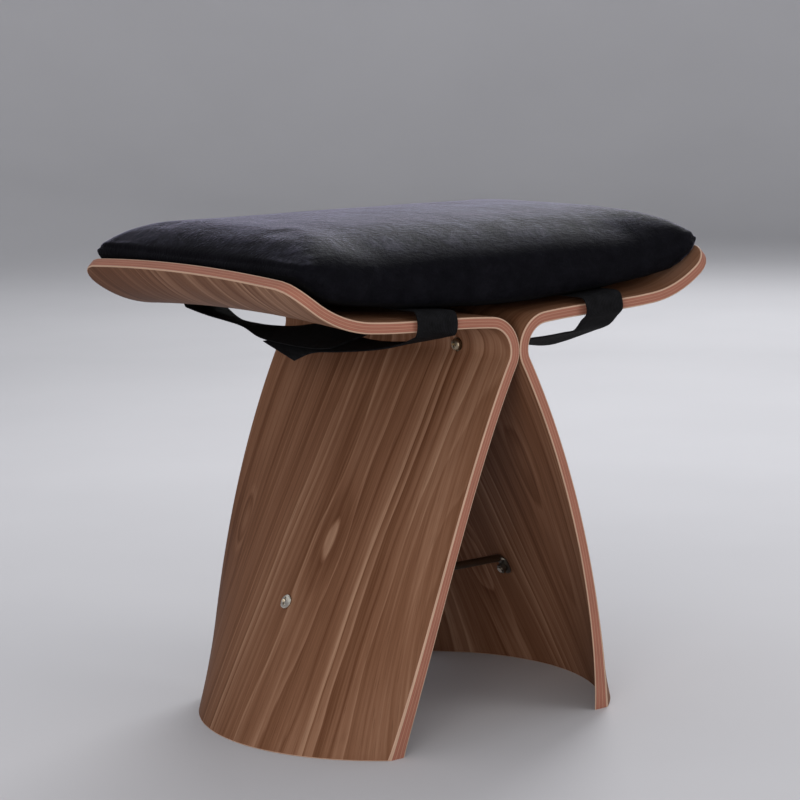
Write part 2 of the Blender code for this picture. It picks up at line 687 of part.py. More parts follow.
def main():
    clear_scene()
    walnut = make_material("brown_veneer", (0.17, 0.085, 0.045), 0.5)
    steel = make_material("nickel_steel", (0.62, 0.58, 0.5), 0.28, 1.0)
    fabric = make_material("charcoal_velour", (0.016, 0.016, 0.02), 0.9)
    lining = make_material("black_lining", (0.012, 0.012, 0.014), 0.85)
    foam = make_material("seat_foam", (0.72, 0.66, 0.5), 0.95)
    webbing = make_material("black_elastic", (0.01, 0.01, 0.012), 0.75)
    shells = {side: build_shell(f"{side}_shell", sign, walnut) for side, sign in SIDES.items()}
    build_bend_bolts(shells, steel)
    stretcher = build_stretcher(steel)
    build_leg_screws(shells, stretcher, steel)
    build_cushion(fabric, lining, foam)
    slack = {"left": (LOOP_REACH_LEFT, LOOP_DROP_LEFT, STRAP_SAG_LEFT, LAP_MIDDLE_LEFT),
             "right": (LOOP_REACH_RIGHT, LOOP_DROP_RIGHT, STRAP_SAG_RIGHT, LAP_MIDDLE_RIGHT)}
    for side, sign in SIDES.items():
        for end, way in ENDS.items():
            build_strap(f"strap_{side}_{end}", sign, way, slack[side], webbing)


main()
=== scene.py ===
"""Looks of the two-shell bent plywood stool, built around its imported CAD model.

Metres, +Z up, -Y is the front. The shells are drawn finer than the CAD, with eased edges and
places for the grain and the layers of the ply. The cushion is a simulated pad, and the straps are
slack ribbons. Fittings are the CAD nodes with their own finish.
"""

import math

import bmesh
import bpy
import numpy as np
from mathutils import Matrix, Vector


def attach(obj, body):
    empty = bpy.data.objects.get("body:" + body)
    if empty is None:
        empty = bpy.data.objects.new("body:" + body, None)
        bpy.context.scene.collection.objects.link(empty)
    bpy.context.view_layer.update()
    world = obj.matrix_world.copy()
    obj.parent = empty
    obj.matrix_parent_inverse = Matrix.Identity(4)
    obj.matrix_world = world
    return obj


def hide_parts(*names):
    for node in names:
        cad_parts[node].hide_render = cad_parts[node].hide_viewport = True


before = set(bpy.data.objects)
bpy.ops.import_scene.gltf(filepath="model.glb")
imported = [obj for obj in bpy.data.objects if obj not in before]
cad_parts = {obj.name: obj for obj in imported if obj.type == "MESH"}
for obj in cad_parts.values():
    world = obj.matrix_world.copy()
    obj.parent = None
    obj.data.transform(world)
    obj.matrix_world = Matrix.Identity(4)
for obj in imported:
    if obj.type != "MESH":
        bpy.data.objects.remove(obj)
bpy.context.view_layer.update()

# Sizes shared with the CAD source
PLY = 0.0092
SEAT_DEPTH = 0.310
TOUCH_HEIGHT = 0.3225
MEETING_GAP = 0.0003
BEND_RADIUS = 0.025
SEAT_SLOPE = math.radians(5.5)
SEAT_RUN = 0.122
WING_RADIUS = 0.1087
WING_SWEEP = math.radians(42.5)
WING_CROWN = 0.0056
TIP_CORNER = 0.023
LEG_BEND_RADIUS = 0.0205
LEG_SPLAY = math.radians(28.7)
FOOT_RADIUS = 0.159
BOW_GROWTH = 1.72
FOOT_DEPTH = 0.2595
TAPER_GROWTH = 2.6
BOLT_SPACING = 0.1762
BOLT_HOLE_RADIUS = 0.0033
SPOT_RADIUS = 0.006
SPOT_DEPTH = 0.0004
SCREW_HEIGHT = 0.106
SCREW_HOLE_RADIUS = 0.0028
FIT_GAP = 0.0003
CUSHION_SIDE_INSET = 0.0048
CUSHION_END_INSET = 0.0027
CUSHION_CORNER = 0.0143
CUSHION_WAIST = 0.003
BAND_HEIGHT = 0.0403
BAND_END_HEIGHT = 0.0093
TOP_CROWN = 0.0283
SQUARE_START = 0.6
END_SLOPE = 0.88
END_FALL = 0.0047
SHOULDER = 0.0092
BASE_CURVE = 0.42
BASE_DROP = 0.0005
BASE_EASING = 0.002
BASE_INSET = 0.005
STRAP_WIDTH = 0.040
STRAP_THICKNESS = 0.0018
STRAP_PLACE = 0.087
STRAP_TAIL = 0.036
LOOP_INSET = 0.002

HALF_DEPTH = SEAT_DEPTH / 2
BRIDGE_HALF = STRAP_PLACE + STRAP_WIDTH / 2
BEND_TURN = math.pi / 2 - SEAT_SLOPE
TOUCH_X = PLY / 2 + MEETING_GAP / 2
BEND_LENGTH = BEND_RADIUS * BEND_TURN
TIP_DISTANCE = BEND_LENGTH + SEAT_RUN + WING_RADIUS * WING_SWEEP
LEG_BEND_LENGTH = LEG_BEND_RADIUS * LEG_SPLAY
LEG_TOP_X = TOUCH_X + LEG_BEND_RADIUS * (1 - math.cos(LEG_SPLAY))
LEG_TOP_Z = TOUCH_HEIGHT - LEG_BEND_RADIUS * math.sin(LEG_SPLAY)
LEG_LENGTH = LEG_TOP_Z / math.cos(LEG_SPLAY)
FOOT_DISTANCE = -(LEG_BEND_LENGTH + LEG_LENGTH)

# Finish of the shells
ARRIS = 0.0009  # rounding of the edges
ARRIS_STEPS = 3
COLUMNS = 48
LEG_ROWS = 44  # faces along the parts of a shell, from the foot to the tip
LEG_BEND_ROWS = 8
BEND_ROWS = 24
SEAT_ROWS = 18
WING_ROWS = 14
CORNER_TURNS = (14, 28, 41, 54, 67, 90)  # degrees round the corners of the tip
HOLE_SEGMENTS = 40
SEAT_SAMPLES = 120

# Camera, solved from the photograph
CAMERA_PLACE = (-1.2562, -1.5981, 0.5781)
CAMERA_HEADING = math.radians(38.139)
CAMERA_PITCH = math.radians(8.7496)
CAMERA_ROLL = math.radians(-0.8581)
CAMERA_LENS = 108.22


def smooth_step(value):
    """0 below 0, 1 above 1, and a smooth rise between."""
    value = min(max(value, 0.0), 1.0)
    return value * value * (3 - 2 * value)


def spread(start, end, count):
    """Evenly spaced places after start, up to and including end."""
    return [start + (end - start) * (i + 1) / count for i in range(count)]


def middle_line(s):
    """Point of a shell's middle line, s measured from the meeting line: up the wing, down the leg."""
    if s < -LEG_BEND_LENGTH:
        run = -s - LEG_BEND_LENGTH
        return LEG_TOP_X + run * math.sin(LEG_SPLAY), LEG_TOP_Z - run * math.cos(LEG_SPLAY)
    if s < 0:
        turn = -s / LEG_BEND_RADIUS
        return (TOUCH_X + LEG_BEND_RADIUS * (1 - math.cos(turn)),
                TOUCH_HEIGHT - LEG_BEND_RADIUS * math.sin(turn))
    turn = min(s / BEND_RADIUS, BEND_TURN)
    x = TOUCH_X + BEND_RADIUS * (1 - math.cos(turn))
    z = TOUCH_HEIGHT + BEND_RADIUS * math.sin(turn)
    run = min(max(s - BEND_LENGTH, 0), SEAT_RUN)
    x += run * math.cos(SEAT_SLOPE)
    z += run * math.sin(SEAT_SLOPE)
    sweep = max(s - BEND_LENGTH - SEAT_RUN, 0) / WING_RADIUS
    x += WING_RADIUS * (math.sin(SEAT_SLOPE + sweep) - math.sin(SEAT_SLOPE))
    z += WING_RADIUS * (math.cos(SEAT_SLOPE) - math.cos(SEAT_SLOPE + sweep))
    return x, z


def leg_share(s):
    """How far down the straight leg a place lies, 0 at the bend and 1 at the floor."""
    return min(max((-s - LEG_BEND_LENGTH) / LEG_LENGTH, 0), 1)


def middle_surface(s, y):
    """Point (x, z) of a shell's middle surface at depth y."""
    x, z = middle_line(s)
    curve = leg_share(s) ** BOW_GROWTH / FOOT_RADIUS
    if curve > 0:
        x -= (1 - math.sqrt(1 - (curve * y) ** 2)) / curve
    rise = smooth_step((s - BEND_LENGTH) / SEAT_RUN)
    return x, z - WING_CROWN * rise * (y / HALF_DEPTH) ** 2


def half_depth_at(s):
    """Half of the shell's front-to-back size at a place along it."""
    taper = (SEAT_DEPTH - FOOT_DEPTH) / 2 * leg_share(s) ** TAPER_GROWTH
    into_corner = min(max(s - (TIP_DISTANCE - TIP_CORNER), 0), TIP_CORNER)
    corner = TIP_CORNER - math.sqrt(TIP_CORNER ** 2 - into_corner ** 2)
    return HALF_DEPTH - taper - corner


def ply_point(s, y, rise, floor=None):
    """Point of a shell, rise above the middle of its ply, slid along to the floor's height if given."""
    step = PLY / 100
    x, z = middle_surface(s, y)
    ahead = middle_surface(min(s + step, TIP_DISTANCE), y)
    behind = middle_surface(max(s - step, FOOT_DISTANCE), y)
    far = middle_surface(s, y + step)
    near = middle_surface(s, y - step)
    along = Vector((ahead[0] - behind[0], 0, ahead[1] - behind[1]))
    across = Vector((far[0] - near[0], 2 * step, far[1] - near[1]))
    normal = along.cross(across).normalized()
    scale = rise / (normal.x ** 2 + normal.z ** 2)
    point = Vector((x + scale * normal.x, y, z + scale * normal.z))
    if floor is not None:
        point += along * ((floor - point.z) / along.z)
    return point


SEAT_PLACES = [BEND_LENGTH] + spread(BEND_LENGTH, TIP_DISTANCE, SEAT_SAMPLES)
SEAT_LINE = [ply_point(s, 0.0, PLY / 2) for s in SEAT_PLACES]
SEAT_X = [point.x for point in SEAT_LINE]
SEAT_Z = [point.z for point in SEAT_LINE]
CUSHION_HALF_LENGTH = SEAT_X[-1] - CUSHION_END_INSET
CUSHION_HALF_DEPTH = HALF_DEPTH - CUSHION_SIDE_INSET


def seat_height(x):
    """Height of the seat's upper face on the middle line of the wings."""
    return float(np.interp(abs(x), SEAT_X, SEAT_Z))


def base_height(x):
    """Underside of the cushion, which rests on the upturned wings and hangs free between them."""
    resting = seat_height(x) + FIT_GAP
    hanging = seat_height(BRIDGE_HALF) - BASE_DROP + BASE_CURVE * x * x
    return (resting + hanging + math.hypot(resting - hanging, BASE_EASING)) / 2


EDGE_LINE = [ply_point(s, HALF_DEPTH, -PLY / 2) for s in SEAT_PLACES if s < TIP_DISTANCE - TIP_CORNER]
EDGE_X = [point.x for point in EDGE_LINE]
EDGE_Z = [point.z for point in EDGE_LINE]


def wing_edge(x):
    """Height of the lower arris of a wing's front edge."""
    return float(np.interp(abs(x), EDGE_X, EDGE_Z))


# Veneer, in metres and linear colours

HEART_PITCH = 0.28  # distance from one arched figure to the second next
HEART_RINGS = 4.2
RING_CONTRAST = 0.62
RING_LEAST = 0.45  # share of the contrast that the faintest year keeps
RING_UNEVENNESS = 2.0
RING_PROFILE = [(0.0, 0.48), (0.06, 0.80), (0.18, 0.74), (0.32, 0.57), (0.62, 0.47), (0.86, 0.30),
                (0.95, 0.24), (1.0, 0.48)]
YEAR_SHARE = 0.14
LAYER_STEP = 1.7  # how far apart the patterns of the two faces lie
# Patterns along the grain: times per metre across and along, then detail and roughness
FIBRE = (520.0, 6.0, 5.0, 0.65)
FIBRE_SHARE = 0.60
STREAK = (120.0, 1.8, 4.0, 0.6)
STREAK_SHARE = 0.65
CLOUD = (14.0, 3.0, 2.0)
CLOUD_SHARE = 0.60
LINES = (330.0, 1.4, 3.0, 0.6)
LINE_SHARE = 0.40
PORES = (1500.0, 38.0, 1.0)
CLEARNESS = (9.0, 0.8)
WAVES = (12.0, 14.0, 3.0)
# How the rings wander: times per metre across and along, rings moved
RING_WANDERS = ((7.0, 2.4, 2.6), (26.0, 5.0, 0.9), (70.0, 9.0, 0.30), (240.0, 16.0, 0.10))
VENEER_TONES = [(0.0, (0.076, 0.0262, 0.0107)), (0.28, (0.118, 0.0485, 0.0230)),
                (0.50, (0.172, 0.0795, 0.0432)), (0.72, (0.238, 0.1230, 0.0730)),
                (1.0, (0.332, 0.1950, 0.1240))]
VENEER_PORE = (0.070, 0.026, 0.0110)
PORE_SHARE = 0.35
# Eyes in the figure: place across and along the grain, half width, half length, rings added
LEFT_EYES = [(-0.021, -0.184, 0.020, 0.044, 0.9), (0.114, -0.192, 0.022, 0.040, -0.8),
             (-0.160, -0.010, 0.050, 0.130, 2.4), (0.060, 0.170, 0.030, 0.070, 1.0)]
RIGHT_EYES = [(0.040, -0.240, 0.020, 0.045, 0.9), (-0.100, -0.110, 0.022, 0.050, -0.8),
              (0.150, -0.050, 0.050, 0.120, -2.0), (-0.020, 0.150, 0.030, 0.080, 1.0)]
EYE_SHADE = -0.12
EYE_LIGHT = 0.15
EYE_TIGHTNESS = -7.0
# A paler band along the grain, with a wavy edge: place across, half width
LEFT_PALE = (-0.124, 0.028)
RIGHT_PALE = (0.095, 0.024)
PALE_SHARE = 0.15
PALE_WAVE = 0.030
# Side, seed of the patterns, middle of the arched figure, eyes and pale band of each shell
SHELLS = {"left": (-1, 0.0, -0.021, LEFT_EYES, LEFT_PALE),
          "right": (1, 5.3, 0.040, RIGHT_EYES, RIGHT_PALE)}

# Edge of the ply, from one face to the other
CREAM = (0.45, 0.292, 0.208)
PINK = (0.300, 0.118, 0.080)
TAN = (0.350, 0.166, 0.112)
GLUE = (0.165, 0.062, 0.038)
PLY_LAYERS = [(CREAM, 0.0, 0.125), (PINK, 0.165, 0.295), (TAN, 0.330, 0.420), (PINK, 0.455, 0.565),
              (TAN, 0.600, 0.690), (PINK, 0.725, 0.835), (CREAM, 0.875, 1.0)]
GLUE_LINES = (0.140, 0.310, 0.435, 0.580, 0.705, 0.860)
LAYER_WANDER = 0.035
EDGE_SEED = 2.0

# Cloths, linear colours and metres
VELOUR_TINT = (0.74, 0.72, 1.0, 1.0)
STROKE_SCALES = (190.0, 420.0, 260.0)  # times per metre along X, Y and Z
PATCH_SCALES = (48.0, 28.0, 48.0)
PILE_SCALE = 1500.0
OWN_PILE_TONES = [(0.25, (0.0018, 0.0018, 0.0024)), (0.50, (0.0032, 0.0032, 0.0042)),
               (0.75, (0.0056, 0.0056, 0.0074))]
# Lighter tones for faces that look up: painted top light over the nap patches
PAINTED_TOP_LIGHT_TONES = [(0.32, (0.0026, 0.0025, 0.0038)), (0.48, (0.0080, 0.0077, 0.0116)),
                (0.60, (0.0220, 0.0212, 0.0312)), (0.75, (0.0440, 0.0423, 0.0618))]
TOP_FROM = 0.72  # upward part of the normal where the painted top light begins, and where it is full
TOP_TO = 0.98
STROKE_BUMP = 2.0
PATCH_BUMP = 2.8
PILE_BUMP = 0.5
LINING_COLOUR = (0.0032, 0.0032, 0.0038)
LINING_PITCH = 0.0016
LINING_UNEVENNESS = 1.5
RIB_PITCH = 0.0016
CROSS_PITCH = 0.0011
WEBBING_TONES = [(0.3, (0.0034, 0.0034, 0.0038)), (0.7, (0.0080, 0.0080, 0.0092))]

# Plated finishes of the fittings: colour, roughness. The second and third are darker copies of the
# plate, painted shade, the third with a bronze tone
NICKEL_PLATE = ((0.66, 0.61, 0.53), 0.14)
SHADED_NICKEL = ((0.17, 0.152, 0.128), 0.24)
BRONZE_SHADED_NICKEL = ((0.36, 0.29, 0.20), 0.22)
NICKEL_CLOUD = 0.72  # brightness of the duller patches

# Shader helpers

MIX_FACTOR, MIX_FIRST, MIX_SECOND, MIX_RESULT = 0, 6, 7, 2  # sockets of the mix node for colours


def principled(name, **values):
    """A material with its tree and its Principled shader, whose sockets take the given numbers."""
    material = bpy.data.materials.new(name)
    material.use_nodes = True
    tree = material.node_tree
    shader = tree.nodes["Principled BSDF"]
    for key, value in values.items():
        shader.inputs[key.replace("_", " ")].default_value = value
    return material, tree, shader


def add_node(tree, kind, inputs=None, **settings):
    """A node whose inputs take numbers or other nodes' outputs."""
    made = tree.nodes.new(kind)
    for key, value in settings.items():
        setattr(made, key, value)
    for key, value in (inputs or {}).items():
        if isinstance(value, bpy.types.NodeSocket):
            tree.links.new(value, made.inputs[key])
        else:
            made.inputs[key].default_value = value
    return made


def calc(tree, operation, first, second=0.0, third=0.0):
    """Result of a math node."""
    inputs = {0: first, 1: second, 2: third}
    return add_node(tree, "ShaderNodeMath", inputs, operation=operation).outputs[0]


def times(tree, first, second):
    return calc(tree, "MULTIPLY", first, second)


def minus(tree, first, second):
    return calc(tree, "SUBTRACT", first, second)


def times_plus(tree, first, second, third):
    return calc(tree, "MULTIPLY_ADD", first, second, third)


def combine(tree, x, y, z):
    """Vector of three numbers or sockets."""
    return add_node(tree, "ShaderNodeCombineXYZ", {0: x, 1: y, 2: z}).outputs[0]


def parts(tree, vector):
    """The three numbers of a vector."""
    return add_node(tree, "ShaderNodeSeparateXYZ", {0: vector}).outputs


def stretch(tree, vector, scales):
    """A vector whose parts are each taken times their own scale."""
    pairs = zip(parts(tree, vector), scales)
    return combine(tree, *(times(tree, part, scale) for part, scale in pairs))


def noise(tree, vector, scale=1.0, detail=2.0, roughness=0.5, distortion=0.0):
    inputs = {"Vector": vector, "Scale": scale, "Detail": detail, "Roughness": roughness,
              "Distortion": distortion}
    return add_node(tree, "ShaderNodeTexNoise", inputs).outputs[0]


def ramp(tree, factor, stops):
    """Colour ramp from (place, colour) pairs; a colour is a number or three numbers."""
    made = add_node(tree, "ShaderNodeValToRGB", {0: factor})
    elements = made.color_ramp.elements
    while len(elements) < len(stops):
        elements.new(0.5)
    for element, (place, colour) in zip(elements, stops):
        element.position = place
        rgb = (colour,) * 3 if isinstance(colour, (int, float)) else colour
        element.color = (*rgb, 1.0)
    return made.outputs[0]


def opaque(colour):
    """A colour's socket as it is, or three numbers with full alpha."""
    return colour if isinstance(colour, bpy.types.NodeSocket) else (*colour, 1.0)


def mix(tree, factor, first, second, blend="MIX"):
    """Colour between two colours, or one blended over the other."""
    inputs = {MIX_FACTOR: factor, MIX_FIRST: opaque(first), MIX_SECOND: opaque(second)}
    made = add_node(tree, "ShaderNodeMix", inputs, data_type="RGBA", blend_type=blend)
    return made.outputs[MIX_RESULT]


def bump(tree, shader, height, distance, strength=1.0):
    """Raise a shader's surface by a height pattern."""
    inputs = {"Height": height, "Distance": distance, "Strength": strength}
    made = add_node(tree, "ShaderNodeBump", inputs)
    tree.links.new(made.outputs[0], shader.inputs["Normal"])


def grain_places(tree):
    """Sockets with the place across the grain, along it, through the ply and along the rim."""
    grain = add_node(tree, "ShaderNodeUVMap", uv_map="grain").outputs[0]
    layer = add_node(tree, "ShaderNodeUVMap", uv_map="layer").outputs[0]
    return *parts(tree, grain)[:2], *parts(tree, layer)[:2]


def veneer_material(name, seed, heart, eyes, pale):
    """Sliced veneer: straight growth rings that close round a few eyes, fine fibre and pores."""
    material, tree, shader = principled(name, Specular_IOR_Level=0.07)
    across, along, layer, _ = grain_places(tree)
    deep = times_plus(tree, layer, LAYER_STEP, seed)

    def grained(wide, long, detail=2.0, roughness=0.5):
        place = combine(tree, times(tree, across, wide), times(tree, along, long), deep)
        return minus(tree, noise(tree, place, 1.0, detail, roughness), 0.5)

    def bell(squared, tightness=-1.0):
        return calc(tree, "EXPONENT", times(tree, squared, tightness))

    turn = times(tree, minus(tree, across, heart), 2 * math.pi / HEART_PITCH)
    rings = times(tree, calc(tree, "COSINE", turn), HEART_RINGS)
    heartwood = 0.5
    for place_across, place_along, half_width, half_length, count in eyes:
        aside = calc(tree, "DIVIDE", minus(tree, across, place_across), half_width)
        away = calc(tree, "DIVIDE", minus(tree, along, place_along), half_length)
        spread_out = times_plus(tree, aside, aside, times(tree, away, away))
        rise = bell(spread_out)
        rings = times_plus(tree, rise, count, rings)
        heartwood = times_plus(tree, rise, EYE_SHADE, heartwood)
        heartwood = times_plus(tree, bell(spread_out, EYE_TIGHTNESS), EYE_LIGHT, heartwood)
    for wide, long, amount in RING_WANDERS:
        rings = times_plus(tree, grained(wide, long), amount, rings)
    uneven = noise(tree, combine(tree, times(tree, rings, 0.8), seed, 0.0), detail=2.0)
    rings = times_plus(tree, uneven, RING_UNEVENNESS, rings)
    number = calc(tree, "FLOOR", rings)
    year = add_node(tree, "ShaderNodeTexWhiteNoise", {"W": number}, noise_dimensions="1D").outputs[0]
    band = ramp(tree, calc(tree, "FRACT", rings), RING_PROFILE)
    fibre = grained(*FIBRE)
    pore_mark = ramp(tree, grained(*PORES), [(0.11, 0.0), (0.24, 1.0)])
    clear = times_plus(tree, grained(*CLEARNESS), 2.4, 1.0)
    contrast = times_plus(tree, year, RING_CONTRAST, RING_CONTRAST * RING_LEAST)
    contrast = times(tree, contrast, calc(tree, "MAXIMUM", clear, 0.3))
    tone = times_plus(tree, minus(tree, band, 0.5), contrast, heartwood)
    tone = times_plus(tree, minus(tree, year, 0.5), YEAR_SHARE, tone)
    pale_place, pale_half_width = pale
    from_pale = minus(tree, across, pale_place)
    from_pale = times_plus(tree, grained(*WAVES), PALE_WAVE, from_pale)
    from_pale = calc(tree, "DIVIDE", from_pale, pale_half_width)
    pale_band = bell(times(tree, from_pale, from_pale))
    tone = times_plus(tree, pale_band, PALE_SHARE, tone)
    tone = times_plus(tree, grained(*STREAK), STREAK_SHARE, tone)
    tone = times_plus(tree, fibre, FIBRE_SHARE, tone)
    tone = times_plus(tree, grained(*CLOUD), CLOUD_SHARE, tone)
    tone = times_plus(tree, grained(*LINES), LINE_SHARE, tone)
    colour = ramp(tree, tone, VENEER_TONES)
    with_pores = mix(tree, times(tree, pore_mark, PORE_SHARE), colour, VENEER_PORE)
    tree.links.new(with_pores, shader.inputs["Base Color"])
    tree.links.new(times_plus(tree, fibre, 0.25, 0.60), shader.inputs["Roughness"])
    bump(tree, shader, times_plus(tree, pore_mark, -0.7, fibre), 0.00012, 0.4)
    return material


def ply_edge_material(name, seed):
    """Edge of the ply: pale face veneers, warm inner layers, dark glue lines and short fibre."""
    material, tree, shader = principled(name, Specular_IOR_Level=0.12)
    _, _, layer, run = grain_places(tree)

    def along_rim(often, deep, detail, roughness=0.5):
        place = combine(tree, times(tree, run, often), times(tree, layer, deep), seed)
        return noise(tree, place, detail=detail, roughness=roughness)

    wander = minus(tree, along_rim(28.0, 1.0, 2.0), 0.5)
    through = times_plus(tree, wander, LAYER_WANDER, times_plus(tree, layer, 0.5, 0.5))
    stops = [(place, GLUE) for place in GLUE_LINES]
    for layer_colour, low, high in PLY_LAYERS:
        stops += [(low, layer_colour), (high, layer_colour)]
    colour = ramp(tree, through, sorted(stops))
    shade = ramp(tree, along_rim(22.0, 9.0, 4.0, 0.65), [(0.28, 0.72), (0.50, 1.0), (0.75, 1.15)])
    tree.links.new(mix(tree, 1.0, colour, shade, "MULTIPLY"), shader.inputs["Base Color"])
    fleck = along_rim(900.0, 5.0, 2.0)
    tree.links.new(times_plus(tree, fleck, 0.25, 0.42), shader.inputs["Roughness"])
    bump(tree, shader, fleck, 0.00010, 0.35)
    return material


def nickel_material(name, colour, roughness):
    """Plated steel with a faint tumbled grain."""
    material, tree, shader = principled(name, Metallic=1.0)
    place = add_node(tree, "ShaderNodeTexCoord").outputs["Object"]
    grain = noise(tree, place, 900.0, 3.0)
    cloud = noise(tree, place, 120.0, 2.0)
    dull = tuple(channel * NICKEL_CLOUD for channel in colour)
    tree.links.new(mix(tree, cloud, colour, dull), shader.inputs["Base Color"])
    tree.links.new(times_plus(tree, grain, 0.20, roughness), shader.inputs["Roughness"])
    bump(tree, shader, grain, 0.00003, 0.3)
    return material


def velour_material(name):
    """Short dark pile whose brushed nap shows as lighter and darker patches; faces that look up get
    lighter tones, a painted top light.
    """
    material, tree, shader = principled(name, Roughness=0.62, Specular_IOR_Level=0.032,
                                        Specular_Tint=VELOUR_TINT, Sheen_Weight=0.74,
                                        Sheen_Roughness=0.115, Sheen_Tint=VELOUR_TINT)
    place = add_node(tree, "ShaderNodeTexCoord").outputs["Object"]
    stroke = noise(tree, stretch(tree, place, STROKE_SCALES), 1.0, 3.0, 0.6, 0.6)
    patch = noise(tree, stretch(tree, place, PATCH_SCALES), 1.0, 5.0, 0.68, 0.45)
    pile = noise(tree, place, PILE_SCALE, 2.0, 0.6)
    nap = times_plus(tree, minus(tree, stroke, 0.5), 0.5, patch)
    own_pile_tone = ramp(tree, nap, OWN_PILE_TONES)
    painted_top_light = ramp(tree, nap, PAINTED_TOP_LIGHT_TONES)
    # Painted top light: the more a face looks up, the more it takes the lighter tones
    normal = add_node(tree, "ShaderNodeNewGeometry").outputs["Normal"]
    inputs = {0: parts(tree, normal)[2], 1: TOP_FROM, 2: TOP_TO}
    top_light_share = add_node(tree, "ShaderNodeMapRange", inputs, interpolation_type="SMOOTHSTEP").outputs[0]
    tree.links.new(mix(tree, top_light_share, own_pile_tone, painted_top_light), shader.inputs["Base Color"])
    height = times_plus(tree, patch, PATCH_BUMP, times(tree, pile, PILE_BUMP))
    height = times_plus(tree, stroke, STROKE_BUMP, height)
    bump(tree, shader, height, 0.0009, 0.4)
    return material


def weave_material(name):
    """Plain dark lining with a fine over-and-under weave."""
    material, tree, shader = principled(name, Roughness=0.9, Specular_IOR_Level=0.04)
    place = add_node(tree, "ShaderNodeTexCoord").outputs["Object"]
    x, y, _ = parts(tree, place)
    turn = 2 * math.pi / LINING_PITCH
    warp = calc(tree, "SINE", times(tree, x, turn))
    weft = calc(tree, "SINE", times(tree, y, turn))
    height = times(tree, warp, weft)
    cloud = noise(tree, place, 55.0, 3.0)
    light = tuple(channel * LINING_UNEVENNESS for channel in LINING_COLOUR)
    tree.links.new(mix(tree, cloud, LINING_COLOUR, light), shader.inputs["Base Color"])
    bump(tree, shader, height, 0.00015, 0.5)
    return material


def webbing_material(name):
    """Elastic webbing: ribs along the strap and a fine cross weave."""
    material, tree, shader = principled(name, Roughness=0.80, Specular_IOR_Level=0.06)
    grain = add_node(tree, "ShaderNodeUVMap", uv_map="strap").outputs[0]
    across, along, _ = parts(tree, grain)
    ribs = calc(tree, "SINE", times(tree, across, 2 * math.pi / RIB_PITCH))
    cross = calc(tree, "SINE", times(tree, along, 2 * math.pi / CROSS_PITCH))
    height = times_plus(tree, cross, 0.35, ribs)
    cloud = noise(tree, grain, 160.0, 3.0)
    # Painted shade in the rib grooves: the tone follows the ribs' height, darker in the troughs, over a
    # random cloud
    shade = times_plus(tree, ribs, 0.10, cloud)
    tree.links.new(ramp(tree, shade, WEBBING_TONES), shader.inputs["Base Color"])
    bump(tree, shader, height, 0.00018, 0.6)
    return material


# Object and mesh helpers


def show(thing):
    """Put an object into the scene."""
    bpy.context.scene.collection.objects.link(thing)


def add_piece(name, mesh, materials, sharp=40):
    """A shown object, smooth except where it turns sharply."""
    mesh.shade_smooth()
    mesh.set_sharp_from_angle(angle=math.radians(sharp))
    for material in materials:
        mesh.materials.append(material)
    piece = bpy.data.objects.new(name, mesh)
    show(piece)
    return piece


def mesh_from(name, verts, faces, slots=None, places=None):
    """Mesh with faces turned out, material indices, and named places given per face corner."""
    mesh = bpy.data.meshes.new(name)
    mesh.from_pydata([tuple(v) for v in verts], [], faces)
    for label, corners in (places or {}).items():
        layer = mesh.uv_layers.new(name=label)
        flat = [value for face in corners for corner in face for value in corner]
        layer.data.foreach_set("uv", flat)
    if slots:
        mesh.polygons.foreach_set("material_index", slots)
    bm = bmesh.new()
    bm.from_mesh(mesh)
    bmesh.ops.recalc_face_normals(bm, faces=bm.faces)
    bm.to_mesh(mesh)
    bm.free()
    return mesh


def ring_faces(rings, around):
    """Faces between rings of points that follow one another."""
    faces = []
    for start in range(0, (rings - 1) * around, around):
        for k in range(around):
            n = (k + 1) % around
            faces.append((start + k, start + n, start + around + n, start + around + k))
    return faces


def freeze(piece):
    """Replace a piece's mesh by what its modifiers make of it."""
    graph = bpy.context.evaluated_depsgraph_get()
    made = bpy.data.meshes.new_from_object(piece.evaluated_get(graph),
                                           preserve_all_data_layers=True, depsgraph=graph)
    piece.modifiers.clear()
    piece.data = made


def cut(piece, radius, low, high, place):
    """Cut a round hole along the Z axis of a frame out of a piece."""
    bm = bmesh.new()
    bmesh.ops.create_cone(bm, cap_ends=True, segments=HOLE_SEGMENTS, radius1=radius, radius2=radius,
                          depth=high - low, matrix=Matrix.Translation((0, 0, (low + high) / 2)))
    mesh = bpy.data.meshes.new("cutter")
    bm.to_mesh(mesh)
    bm.free()
    cutter = bpy.data.objects.new("cutter", mesh)
    cutter.matrix_world = place
    show(cutter)
    change = piece.modifiers.new("cut", "BOOLEAN")
    change.operation = "DIFFERENCE"
    change.solver = "EXACT"
    change.object = cutter
    freeze(piece)
    bpy.data.objects.remove(cutter, do_unlink=True)


# Shells


def shell_rows():
    """Places along a shell, from the foot to the wing tip."""
    seat_end = BEND_LENGTH + SEAT_RUN
    corner_start = TIP_DISTANCE - TIP_CORNER
    rows = [FOOT_DISTANCE]
    rows += spread(FOOT_DISTANCE, -LEG_BEND_LENGTH, LEG_ROWS)
    rows += spread(-LEG_BEND_LENGTH, 0, LEG_BEND_ROWS)
    rows += spread(0, BEND_LENGTH, BEND_ROWS)
    rows += spread(BEND_LENGTH, seat_end, SEAT_ROWS)
    rows += spread(seat_end, corner_start, WING_ROWS)
    return rows + [corner_start + TIP_CORNER * math.sin(math.radians(turn)) for turn in CORNER_TURNS]


def rim_profile():
    """Steps (inset, rise) from the seat face round the eased rim to the other face."""
    half = PLY / 2
    turns = [math.pi / 2 * i / ARRIS_STEPS for i in range(ARRIS_STEPS + 1)]
    upper = [(ARRIS * (1 - math.sin(turn)), half - ARRIS * (1 - math.cos(turn))) for turn in turns]
    return upper + [(inset, -rise) for inset, rise in reversed(upper)]


